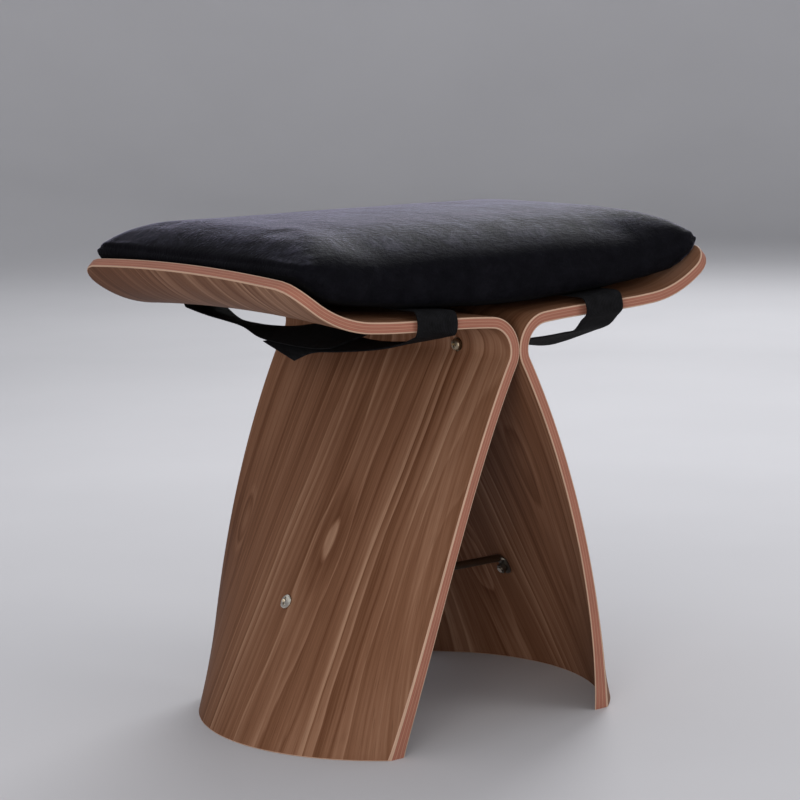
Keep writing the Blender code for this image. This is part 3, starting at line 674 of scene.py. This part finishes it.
def inward(s, y, on_foot, on_side, on_tip):
    """Direction (along, across) from a rim point into the shell."""
    step = [0.0, 0.0]
    if on_foot:
        step[0] += 1.0
    if on_side:
        into = min(max(s - (TIP_DISTANCE - TIP_CORNER), 0) / TIP_CORNER, 1.0)
        step[0] -= into
        step[1] -= math.copysign(math.sqrt(1 - into * into), y)
    elif on_tip:
        step[0] -= 1.0
    return step


def build_shell(name, side, veneer, edge):
    """A shell with a fine skin, an eased rim, and places for its grain and its layers."""
    rows = shell_rows()
    top = len(rows) - 1
    loop = [(i, 0) for i in range(top + 1)] + [(top, j) for j in range(1, COLUMNS + 1)]
    loop += [(i, COLUMNS) for i in range(top - 1, -1, -1)] + [(0, j) for j in range(COLUMNS - 1, 0, -1)]
    profile = rim_profile()
    verts, grain = [], []

    def add(s, y, rise, floor=None):
        point = ply_point(s, y, rise, floor)
        verts.append((side * point.x, point.y, point.z))
        grain.append((y, s))
        return len(verts) - 1

    def spot(i, j):
        return rows[i], half_depth_at(rows[i]) * (2 * j / COLUMNS - 1)

    rings, run = [], [0.0]
    for k, (i, j) in enumerate(loop):
        s, y = spot(i, j)
        step = inward(s, y, i == 0, j in (0, COLUMNS), i == top)
        ring = []
        for inset, rise in profile:
            floor = inset * math.cos(LEG_SPLAY) if i == 0 else None
            ring.append(add(s + step[0] * inset, y + step[1] * inset, rise, floor))
        rings.append(ring)
        after = spot(*loop[(k + 1) % len(loop)])
        run.append(run[-1] + math.dist((s, y), after))
    rim_of = {node: ring for node, ring in zip(loop, rings)}
    faces, slots, grain_uv, layer_uv = [], [], [], []

    def add_face(quad, slot, layers):
        faces.append(quad)
        slots.append(slot)
        grain_uv.append([grain[v] for v in quad])
        layer_uv.append(layers)

    for face, rise in ((0, PLY / 2), (-1, -PLY / 2)):
        grid = [[rim_of[(i, j)][face] if (i, j) in rim_of else add(*spot(i, j), rise)
                 for j in range(COLUMNS + 1)] for i in range(top + 1)]
        for i in range(top):
            for j in range(COLUMNS):
                quad = (grid[i][j], grid[i][j + 1], grid[i + 1][j + 1], grid[i + 1][j])
                add_face(quad, 0, [(math.copysign(1.0, rise), 0.0)] * 4)
    for k in range(len(loop)):
        here, there = rings[k], rings[(k + 1) % len(loop)]
        for p in range(len(profile) - 1):
            quad = (here[p], here[p + 1], there[p + 1], there[p])
            low, high = profile[p][1] / (PLY / 2), profile[p + 1][1] / (PLY / 2)
            add_face(quad, 1, [(low, run[k]), (high, run[k]), (high, run[k + 1]), (low, run[k + 1])])
    mesh = mesh_from(name, verts, faces, slots, {"grain": grain_uv, "layer": layer_uv})
    piece = add_piece(name, mesh, [veneer, edge])
    sideways = Matrix.Rotation(side * math.pi / 2, 4, "Y")
    for end in (-1, 1):
        place = Matrix.Translation((0, end * BOLT_SPACING / 2, TOUCH_HEIGHT)) @ sideways
        cut(piece, BOLT_HOLE_RADIUS, -BEND_RADIUS, BEND_RADIUS, place)
        cut(piece, SPOT_RADIUS, TOUCH_X + PLY / 2 - SPOT_DEPTH, BEND_RADIUS, place)
    x, z = middle_line(-LEG_BEND_LENGTH - (LEG_TOP_Z - SCREW_HEIGHT) / math.cos(LEG_SPLAY))
    out = Matrix.Rotation(side * (math.pi / 2 - LEG_SPLAY), 4, "Y")
    cut(piece, SCREW_HOLE_RADIUS, -PLY, PLY, Matrix.Translation((side * x, 0, z)) @ out)
    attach(piece, "root")
    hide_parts(name.replace("_ply", "_shell"))


# Cushion

START_INSET = 0.0004  # the pad starts this much smaller and swells
START_CROWN_DROP = 0.0006
START_LOWERING = 0.5  # share of the inset by which the band and the top start lower
SWELL_CAP = 0.0012
ROLL_DROP = 0.014  # how far below the edge of the top the long sides roll over
COVER_POWER = 3.0  # how flat the cover lies across the middle, and more at the ends
COVER_SQUARENESS = 4.6
CORNER_STEPS = 10  # faces round the plan
LONG_STEPS = 44
SHORT_STEPS = 32
UNDER_RINGS = (0.12, 0.3, 0.5, 0.68, 0.82, 0.92, 1.0)
BAND_RINGS = 8
BAND_TUCK = 2.2  # how fast the band draws in towards the underside
BAND_BULGE = 0.0016
TOP_RINGS = (0.994, 0.985, 0.97, 0.95, 0.92, 0.88, 0.82, 0.74, 0.64, 0.5, 0.34, 0.16)
VOXEL = 0.005
SIM_FRAMES = 20
CLOTH = {"quality": 5, "mass": 0.3, "tension_stiffness": 12, "compression_stiffness": 8,
         "shear_stiffness": 5, "bending_stiffness": 6.0, "use_pressure": True,
         "uniform_pressure_force": 4.0}
HELD_REACH = 0.004  # cover this near to the base, or to the seam at the rim, is held
HELD_RIM = 0.012
SEAM_HOLD = 0.8
SEAM_LEAST = 0.25  # depth of the seam along the middle of a long side, as a share
SEAM_RIM = 0.010
SEAM_FADE = 0.006
GROOVE_DEPTH = 0.0013
GROOVE_WIDTH = 0.0020
LIP_HEIGHT = 0.0005
LIP_OFFSET = 0.0052
LIP_WIDTH = 0.0028
DENT_HEIGHT = 0.00018
DENT_FADE = 0.004
LINING_REACH = 0.0040  # faces that look down and lie this near to the base are lining
LINING_TILT = -0.1


def cushion_outline(inset):
    """Plan of the cushion: a rounded rectangle whose sides are drawn in between the corners."""
    half_x = CUSHION_HALF_LENGTH - inset
    half_y = CUSHION_HALF_DEPTH - inset
    radius = CUSHION_CORNER - inset
    points = []
    for quarter, (sx, sy) in enumerate(((1, 1), (-1, 1), (-1, -1), (1, -1))):
        start = quarter * math.pi / 2
        for i in range(CORNER_STEPS + 1):
            angle = start + math.pi / 2 * i / CORNER_STEPS
            points.append((sx * (half_x - radius) + radius * math.cos(angle),
                           sy * (half_y - radius) + radius * math.sin(angle)))
        long_side = quarter % 2 == 0
        run = 2 * ((half_x if long_side else half_y) - radius)
        steps = LONG_STEPS if long_side else SHORT_STEPS
        x, y = points[-1]
        way_x, way_y = -math.sin(start + math.pi / 2), math.cos(start + math.pi / 2)
        points += [(x + way_x * run * i / steps, y + way_y * run * i / steps) for i in range(1, steps)]
    return [(x * (1 - CUSHION_WAIST / half_x * (1 - (y / half_y) ** 2)),
             y * (1 - CUSHION_WAIST / half_y * (1 - (x / half_x) ** 2))) for x, y in points]


def seam_height(x):
    """Height of the seam between the side band and the top panel."""
    middle = base_height(0) + BAND_HEIGHT
    over_tip = base_height(x) + BAND_END_HEIGHT
    easing = BAND_END_HEIGHT / 2
    return (middle + over_tip + math.hypot(middle - over_tip, easing)) / 2


def towards_end(x):
    """0 along the middle of a long side, 1 at the ends of the cushion."""
    share = abs(x) / CUSHION_HALF_LENGTH
    return smooth_step((share - SQUARE_START) / (1 - SQUARE_START))


def roll_height(x):
    """Height at which the rounded top runs out into the side band."""
    return seam_height(x) - ROLL_DROP * (1 - towards_end(x))


def top_height(x, y, inset, crown):
    """Height of the top panel: level in the middle, sloping to the wing tips, round to the sides."""
    half_x = CUSHION_HALF_LENGTH - inset
    share_x = min(abs(x) / half_x, 1.0)
    level = seam_height(0) + crown - END_FALL * share_x ** 4
    sloping = seam_height(half_x) + END_SLOPE * half_x * (1 - share_x)
    ridge = (level + sloping - math.hypot(level - sloping, SHOULDER)) / 2
    radius = CUSHION_CORNER - inset
    into_corner = max(abs(x) - (half_x - radius), 0.0)
    half_y = CUSHION_HALF_DEPTH - inset - radius + math.sqrt(max(radius ** 2 - into_corner ** 2, 0.0))
    share_y = min(abs(y) / half_y, 1.0)
    power = COVER_POWER + COVER_SQUARENESS * towards_end(x)
    rise = max(ridge - roll_height(x), 0.0)
    return roll_height(x) + rise * math.sqrt(1 - share_y ** power)


def pad_mesh(inset, crown):
    """Closed pad: underside, side band and crowned top."""
    lowering = inset * START_LOWERING
    rings = []
    for share in UNDER_RINGS:
        outline = [(x * share, y * share) for x, y in cushion_outline(inset + BASE_INSET)]
        rings.append([(x, y, base_height(x)) for x, y in outline])
    for share in spread(0.0, 1.0, BAND_RINGS):
        tuck = BASE_INSET * (1 - share) ** BAND_TUCK
        ring = []
        for x, y in cushion_outline(inset + tuck - BAND_BULGE * math.sin(math.pi * share)):
            low = base_height(x)
            ring.append((x, y, low + (roll_height(x) - lowering - low) * share))
        rings.append(ring)
    for share in TOP_RINGS:
        outline = [(x * share, y * share) for x, y in cushion_outline(inset)]
        rings.append([(x, y, top_height(x, y, inset, crown) - lowering) for x, y in outline])
    count = len(rings[0])
    verts = [point for ring in rings for point in ring]
    faces = ring_faces(len(rings), count)
    top_ring = (len(rings) - 1) * count
    for first, middle in ((0, base_height(0)), (top_ring, top_height(0, 0, inset, crown))):
        verts.append((0.0, 0.0, middle))
        for i in range(count):
            faces.append((first + i, first + (i + 1) % count, len(verts) - 1))
    return mesh_from("seat_cushion", verts, faces)


def vectors(items, name):
    """A vector of each item, as rows of three numbers."""
    flat = np.empty(len(items) * 3)
    items.foreach_get(name, flat)
    return flat.reshape(-1, 3)


def set_coordinates(mesh, points):
    mesh.vertices.foreach_set("co", points.astype(np.float32).ravel())
    mesh.update()


def swell(pad):
    """Let the pad's cover swell under pressure, held along its base and its seam."""
    points = vectors(pad.data.vertices, "co")
    base = np.array([base_height(x) for x in points[:, 0]])
    seam = np.array([roll_height(x) for x in points[:, 0]])
    held = pad.vertex_groups.new(name="held")
    for index, (point, low, line) in enumerate(zip(points, base, seam)):
        if point[2] < low + HELD_REACH:
            held.add([index], 1.0, "REPLACE")
            continue
        near_rim = (abs(point[0]) > CUSHION_HALF_LENGTH - HELD_RIM
                    or abs(point[1]) > CUSHION_HALF_DEPTH - HELD_RIM)
        if near_rim and abs(point[2] - line) < HELD_REACH:
            held.add([index], SEAM_HOLD, "REPLACE")
    change = pad.modifiers.new("cloth", "CLOTH")
    cloth = change.settings
    for key, value in CLOTH.items():
        setattr(cloth, key, value)
    cloth.vertex_group_mass = "held"
    cloth.effector_weights.gravity = 0.0
    change.point_cache.frame_start = 1
    change.point_cache.frame_end = SIM_FRAMES
    scene = bpy.context.scene
    for number in range(1, SIM_FRAMES + 1):
        scene.frame_set(number)
    graph = bpy.context.evaluated_depsgraph_get()
    moved = vectors(pad.evaluated_get(graph).data.vertices, "co") - points
    far = np.linalg.norm(moved, axis=1, keepdims=True)
    moved *= np.minimum(1.0, SWELL_CAP / np.maximum(far, 1e-9))
    pad.modifiers.clear()
    pad.vertex_groups.clear()
    scene.frame_set(1)
    set_coordinates(pad.data, points + moved)


def dent_pattern(x, y):
    """Uneven waves over the plan of the cushion."""
    fine = np.sin(x * 61 + 1.3 * np.sin(y * 43)) * np.sin(y * 57 + 0.9 * np.sin(x * 37))
    return fine + 0.5 * np.sin(x * 23 + 0.6) * np.sin(y * 31 + 1.1)


def sew(pad):
    """Draw in the seam between band and top, and press the soft dents of a used pad."""
    points = vectors(pad.data.vertices, "co")
    normals = vectors(pad.data.vertex_normals, "vector")
    x, y, z = points.T
    off = z - np.array([roll_height(value) for value in x])
    depth = np.array([SEAM_LEAST + (1 - SEAM_LEAST) * towards_end(value) for value in x])
    rim = np.maximum(np.abs(x) - (CUSHION_HALF_LENGTH - SEAM_RIM),
                     np.abs(y) - (CUSHION_HALF_DEPTH - SEAM_RIM))
    depth *= np.clip(rim / SEAM_FADE, 0, 1)
    groove = GROOVE_DEPTH * depth * np.exp(-(off / GROOVE_WIDTH) ** 2)
    lip = LIP_HEIGHT * depth * np.exp(-((np.abs(off) - LIP_OFFSET) / LIP_WIDTH) ** 2)
    dents = DENT_HEIGHT * dent_pattern(x, y) * np.clip(off / DENT_FADE, 0, 1)
    points += normals * (lip - groove + dents)[:, None]
    set_coordinates(pad.data, points)


def build_cushion(velour, lining):
    """Seat pad that stands for the CAD cover, base and foam."""
    pad = add_piece("seat_cushion", pad_mesh(START_INSET, TOP_CROWN - START_CROWN_DROP), [])
    change = pad.modifiers.new("remesh", "REMESH")
    change.mode = "VOXEL"
    change.voxel_size = VOXEL
    freeze(pad)
    swell(pad)
    change = pad.modifiers.new("smooth", "SMOOTH")
    change.factor = 0.5
    change.iterations = 4
    change = pad.modifiers.new("subsurf", "SUBSURF")
    change.levels = 1
    change.render_levels = 1
    freeze(pad)
    sew(pad)
    mesh = pad.data
    mesh.materials.clear()
    mesh.materials.append(velour)
    mesh.materials.append(lining)
    for polygon in mesh.polygons:
        middle = polygon.center
        under = middle.z < base_height(middle.x) + LINING_REACH and polygon.normal.z < LINING_TILT
        polygon.material_index = 1 if under else 0
    mesh.shade_smooth()
    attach(pad, "root")
    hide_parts("cushion_cover", "cushion_base", "cushion_foam")


# Straps

STRAP_STEP = 0.003
STRAP_COLUMNS = 10
PATH_STEPS = 8
SELVEDGE_CROWDING = 0.35  # how much closer the columns lie near the selvedges
SELVEDGE_THICKNESS = 0.45  # share of the thickness that the selvedges have
TAIL_POINTS = 6
LOOP_ROWS = 18
LOOP_REACH = 0.005
LOOP_DROP = 0.0035
LAP_GAP = 0.0006
BACK_SKEW = 0.009  # the left strap's back half starts askew and keeps these shares on its way
SKEW_SHARES = (0.8, 0.5)
TURNING = HALF_DEPTH - LOOP_INSET
# Edges of the left strap after their loops, as (y, z) places, and the free end of its front half
LEFT_FRONT_OUTER = [(-0.132, 0.3345), (-0.098, 0.3275), (-0.057, 0.3222), (-0.020, 0.3180)]
LEFT_FRONT_INNER = [(-0.132, 0.3365), (-0.098, 0.3305), (-0.057, 0.3275), (-0.018, 0.3285)]
FREE_OUTER = [(-0.1075, 0.006, 0.3090)]
FREE_INNER = [(-0.076, 0.020, 0.3275), (-0.1045, 0.0545, 0.3205)]
LEFT_BACK_OUTER = [(0.130, 0.3385), (0.100, 0.3350), (0.080, 0.3310), (0.056, 0.3240),
                   (0.020, 0.3215), (-0.020, 0.3215), (-0.045, 0.3240)]
LEFT_BACK_INNER = [(0.130, 0.3300), (0.100, 0.3275), (0.080, 0.3275), (0.056, 0.3300),
                   (0.020, 0.3350), (-0.020, 0.3345), (-0.045, 0.3330)]
# The right strap's slack turn stands out by the reaches, from above to below; then it sags
SLACK_REACHES = (0.0058, 0.0085, 0.0062)
SLACK_START_DROP = 0.0025
SLACK_RISES = (0.004, -0.0005)
SAG_PLACES = (0.155, 0.145, 0.130, 0.110, 0.090, 0.070, 0.050)
RIGHT_INNER_HEIGHTS = (0.3415, 0.3318, 0.3282, 0.3240, 0.3205, 0.3172, 0.3150)
RIGHT_OUTER_HEIGHTS = (0.3425, 0.3338, 0.3283, 0.3215, 0.3149, 0.3096, 0.3080)
LIFT_FADE = 9  # places over which the lift of the upper half would fade away
LAP_PLACES = (0.020, -0.010, -0.030)


def tail_height(x):
    """Height of a strap's tail, sewn on below the cushion."""
    return base_height(x) - FIT_GAP - STRAP_THICKNESS / 2


def tail_points(x, end):
    """Sewn tail at one edge of a strap, as (x, y, z) points."""
    places = np.linspace(CUSHION_HALF_DEPTH - STRAP_TAIL, TURNING, TAIL_POINTS)
    return [(x, end * y, tail_height(x)) for y in places]


def loop_points(x, end):
    """Sewn tail and loop round the wing's edge at one edge of a strap."""
    low_z = wing_edge(x) - LOOP_DROP - STRAP_THICKNESS / 2
    middle_z = (tail_height(x) + low_z) / 2
    half_height = (tail_height(x) - low_z) / 2
    points = tail_points(x, end)
    for angle in spread(0, math.pi, LOOP_ROWS):
        y = TURNING + LOOP_REACH * math.sin(angle)
        points.append((x, end * y, middle_z + half_height * math.cos(angle)))
    return points


def left_edge(x, end, run, skew=0.0):
    """One edge of a half of the left strap: tail, loop, and a run that loses its skew."""
    points = [(-loop_x, y, z) for loop_x, y, z in loop_points(x + skew, end)]
    shares = SKEW_SHARES + (0.0,) * (len(run) - len(SKEW_SHARES))
    return points + [(-(x + skew * share), y, z) for share, (y, z) in zip(shares, run)]


def right_edge(x, end, heights, lift):
    """One edge of a half of the right strap: tail, slack turn round the wing's edge, sagging run."""
    points = tail_points(x, end)
    turn_heights = [tail_height(x) - SLACK_START_DROP] + [wing_edge(x) + rise for rise in SLACK_RISES]
    points += [(x, end * (TURNING + reach), z) for reach, z in zip(SLACK_REACHES, turn_heights)]
    for i, (y, z) in enumerate(zip(SAG_PLACES, heights)):
        points.append((x, end * y, z + lift * (1 - i / LIFT_FADE)))
    return points + [(x, end * y, heights[-1] + lift) for y in LAP_PLACES]


def smooth_path(points, count):
    """Points spread evenly along a smooth curve through the given ones."""
    knots = np.array(points, float)
    padded = np.vstack([2 * knots[0] - knots[1], knots, 2 * knots[-1] - knots[-2]])
    fine = []
    for i in range(len(knots) - 1):
        a, b, c, d = padded[i:i + 4]
        for t in np.linspace(0, 1, PATH_STEPS, endpoint=False):
            fine.append(0.5 * (2 * b + (c - a) * t + (2 * a - 5 * b + 4 * c - d) * t ** 2
                               + (3 * b - a - 3 * c + d) * t ** 3))
    fine.append(knots[-1])
    fine = np.array(fine)
    length = np.concatenate([[0], np.cumsum(np.linalg.norm(np.diff(fine, axis=0), axis=1))])
    wanted = np.linspace(0, length[-1], count)
    return np.stack([np.interp(wanted, length, fine[:, axis]) for axis in range(3)], axis=1), length[-1]


def build_strap(name, inner, outer, webbing):
    """Ribbon between two edge paths, with rounded selvedges and places for its ribs."""
    count = int(max(smooth_path(inner, 2)[1], smooth_path(outer, 2)[1]) / STRAP_STEP)
    first, length_a = smooth_path(inner, count)
    second, length_b = smooth_path(outer, count)
    length = (length_a + length_b) / 2
    width = second - first
    normal = np.cross(np.gradient((first + second) / 2, axis=0), width)
    normal /= np.linalg.norm(normal, axis=1, keepdims=True)
    shares = []
    for j in range(STRAP_COLUMNS + 1):
        even = j / STRAP_COLUMNS
        crowded = 0.5 - 0.5 * math.cos(math.pi * even)
        shares.append(SELVEDGE_CROWDING * crowded + (1 - SELVEDGE_CROWDING) * even)
    columns = list(range(STRAP_COLUMNS + 1))
    ring = [(j, 1) for j in columns] + [(j, -1) for j in reversed(columns)]
    around = len(ring)
    verts, places = [], []
    for i in range(count):
        for j, face in ring:
            thick = STRAP_THICKNESS / 2 * (SELVEDGE_THICKNESS if j in (0, STRAP_COLUMNS) else 1.0)
            verts.append(first[i] + width[i] * shares[j] + normal[i] * (face * thick))
            places.append((shares[j] * STRAP_WIDTH, length * i / (count - 1)))
    faces = ring_faces(count, around)
    for start in (0, (count - 1) * around):
        for k in range(STRAP_COLUMNS):
            mirror = around - 1 - k
            faces.append((start + k, start + k + 1, start + mirror - 1, start + mirror))
    uv = [[places[v] for v in face] for face in faces]
    mesh = mesh_from(name, verts, faces, places={"strap": uv})
    piece = add_piece(name, mesh, [webbing], sharp=60)
    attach(piece, "root")
    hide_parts(name.replace("_webbing", ""))


def build_straps(webbing):
    """Two elastic straps in halves that lap under the seat; the left lap has a hanging free corner."""
    near, far = STRAP_PLACE + STRAP_WIDTH / 2, STRAP_PLACE - STRAP_WIDTH / 2
    inner = left_edge(far, -1, LEFT_FRONT_INNER) + FREE_INNER
    outer = left_edge(near, -1, LEFT_FRONT_OUTER) + FREE_OUTER
    build_strap("strap_left_front_webbing", inner, outer, webbing)
    inner = left_edge(far, 1, LEFT_BACK_INNER, BACK_SKEW)
    outer = left_edge(near, 1, LEFT_BACK_OUTER, BACK_SKEW)
    build_strap("strap_left_back_webbing", inner, outer, webbing)
    for end, label, lift in ((-1, "front", 0.0), (1, "back", STRAP_THICKNESS + LAP_GAP)):
        inner = right_edge(far, end, RIGHT_INNER_HEIGHTS, lift)
        outer = right_edge(near, end, RIGHT_OUTER_HEIGHTS, lift)
        build_strap(f"strap_right_{label}_webbing", inner, outer, webbing)


# Stage

FLOOR_RADIUS = 4.0
FLOOR_SWEEP = 2.0
WALL_HEIGHT = 1.5
FLOOR_RINGS = (0.0, 1.0, 2.5)
SWEEP_STEPS = 12
FLOOR_SIDES = 96
FLOOR_TONES = ((0.48, 0.47, 0.485), (0.52, 0.51, 0.525))
FLOOR_PAINTED_SHADE = [(0.20, 1.0), (0.38, 0.76), (0.72, 0.78), (0.92, 1.0)]  # painted shade: the floor is darker in a ring over the way to the wall
SKY_COLOUR = (0.93, 0.96, 1.0, 1.0)
SKY_STRENGTH = 0.76
LAMP_AIM = (0.0, 0.0, 0.25)
# Place, size, power and colour of each lamp
LAMPS = {"key": ((2.5, 1.8, 2.1), 2.0, 86.0, (0.96, 0.98, 1.0)),
         "front": ((-2.35, -1.95, 0.70), 1.6, 47.0, (1.0, 0.965, 0.93)),
         "fill": ((1.6, -2.8, 1.0), 2.2, 26.0, (1.0, 0.97, 0.94))}


def build_camera():
    """The photograph's camera."""
    level = math.cos(CAMERA_PITCH)
    forward = Vector((math.sin(CAMERA_HEADING) * level, math.cos(CAMERA_HEADING) * level,
                      -math.sin(CAMERA_PITCH)))
    right = Vector((math.cos(CAMERA_HEADING), -math.sin(CAMERA_HEADING), 0.0))
    up = right.cross(forward)
    turned_right = math.cos(CAMERA_ROLL) * right + math.sin(CAMERA_ROLL) * up
    turned_up = -math.sin(CAMERA_ROLL) * right + math.cos(CAMERA_ROLL) * up
    camera = bpy.data.objects.new("camera", bpy.data.cameras.new("camera"))
    camera.data.lens = CAMERA_LENS
    camera.data.clip_start = 0.05
    camera.data.clip_end = 60.0
    axes = Matrix((turned_right, turned_up, -forward)).transposed()
    camera.matrix_world = Matrix.Translation(CAMERA_PLACE) @ axes.to_4x4()
    show(camera)
    bpy.context.scene.camera = camera


def build_floor():
    """Pale round floor whose rim sweeps up into a backdrop on every side."""
    profile = [(radius, 0.0) for radius in FLOOR_RINGS]
    for i in range(SWEEP_STEPS + 1):
        turn = math.pi / 2 * i / SWEEP_STEPS
        radius = FLOOR_RADIUS + FLOOR_SWEEP * math.sin(turn)
        profile.append((radius, FLOOR_SWEEP * (1 - math.cos(turn))))
    profile.append((FLOOR_RADIUS + FLOOR_SWEEP, FLOOR_SWEEP + WALL_HEIGHT))
    bm = bmesh.new()
    verts = [bm.verts.new((radius, 0, height)) for radius, height in profile]
    edges = [bm.edges.new(pair) for pair in zip(verts, verts[1:])]
    bmesh.ops.spin(bm, geom=verts + edges, cent=(0, 0, 0), axis=(0, 0, 1), angle=2 * math.pi,
                   steps=FLOOR_SIDES, use_merge=True)
    bmesh.ops.remove_doubles(bm, verts=bm.verts, dist=1e-6)
    mesh = bpy.data.meshes.new("floor")
    bm.to_mesh(mesh)
    bm.free()
    mesh.shade_smooth()
    material, tree, shader = principled("pale_floor", Roughness=0.9, Specular_IOR_Level=0.1)
    place = add_node(tree, "ShaderNodeTexCoord").outputs["Object"]
    pale = mix(tree, noise(tree, place, 3.0, 3.0), *FLOOR_TONES)
    # Painted shade: a darker ring in the floor's colour out towards the wall, evening out the lamps'
    # light
    away = add_node(tree, "ShaderNodeVectorMath", {0: place}, operation="LENGTH").outputs["Value"]
    even = ramp(tree, calc(tree, "DIVIDE", away, FLOOR_RADIUS + FLOOR_SWEEP), FLOOR_PAINTED_SHADE)
    tree.links.new(mix(tree, 1.0, pale, even, "MULTIPLY"), shader.inputs["Base Color"])
    mesh.materials.append(material)
    floor = bpy.data.objects.new("floor", mesh)
    show(floor)


def add_lamp(name, place, size, energy, colour):
    """A round soft lamp aimed at the middle of the stool."""
    lamp = bpy.data.objects.new(name, bpy.data.lights.new(name, "AREA"))
    lamp.data.shape = "DISK"
    lamp.data.size = size
    lamp.data.energy = energy
    lamp.data.color = colour
    lamp.location = place
    lamp.rotation_euler = (Vector(LAMP_AIM) - Vector(place)).to_track_quat("-Z", "Y").to_euler()
    show(lamp)


def build_light():
    """Pale sky, a cool lamp from behind and two warm ones from the front."""
    scene = bpy.context.scene
    scene.view_settings.view_transform = "Standard"
    world = bpy.data.worlds.new("studio")
    world.use_nodes = True
    sky = world.node_tree.nodes["Background"]
    sky.inputs[0].default_value = SKY_COLOUR
    sky.inputs[1].default_value = SKY_STRENGTH
    scene.world = world
    for name, values in LAMPS.items():
        add_lamp(name, *values)


def dress_fittings():
    """Give the CAD fittings their plated finish: bright on the screws, and darker copies as painted
    shade on the bend bolts and on the rest.
    """
    bright = nickel_material("nickel_plate", *NICKEL_PLATE)
    dull = nickel_material("shaded_nickel", *SHADED_NICKEL)
    bronze_shaded = nickel_material("bronze_shaded_nickel", *BRONZE_SHADED_NICKEL)
    for name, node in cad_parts.items():
        if node.hide_render:
            continue
        # Painted shade: the bend bolts take a darker bronze copy of the plate, the other fittings a
        # darker grey copy
        finish = bronze_shaded if "bend" in name else bright if "screw" in name else dull
        node.material_slots[0].material = finish


def main():
    """Build everything that is shown."""
    build_camera()
    build_light()
    build_floor()
    edge = ply_edge_material("ply_edge", EDGE_SEED)
    for label, (side, seed, heart, eyes, pale) in SHELLS.items():
        veneer = veneer_material(f"{label}_veneer", seed, heart, eyes, pale)
        build_shell(f"{label}_ply", side, veneer, edge)
    build_cushion(velour_material("charcoal_velour_pile"), weave_material("black_lining_weave"))
    build_straps(webbing_material("black_elastic_ribs"))
    dress_fittings()


main()
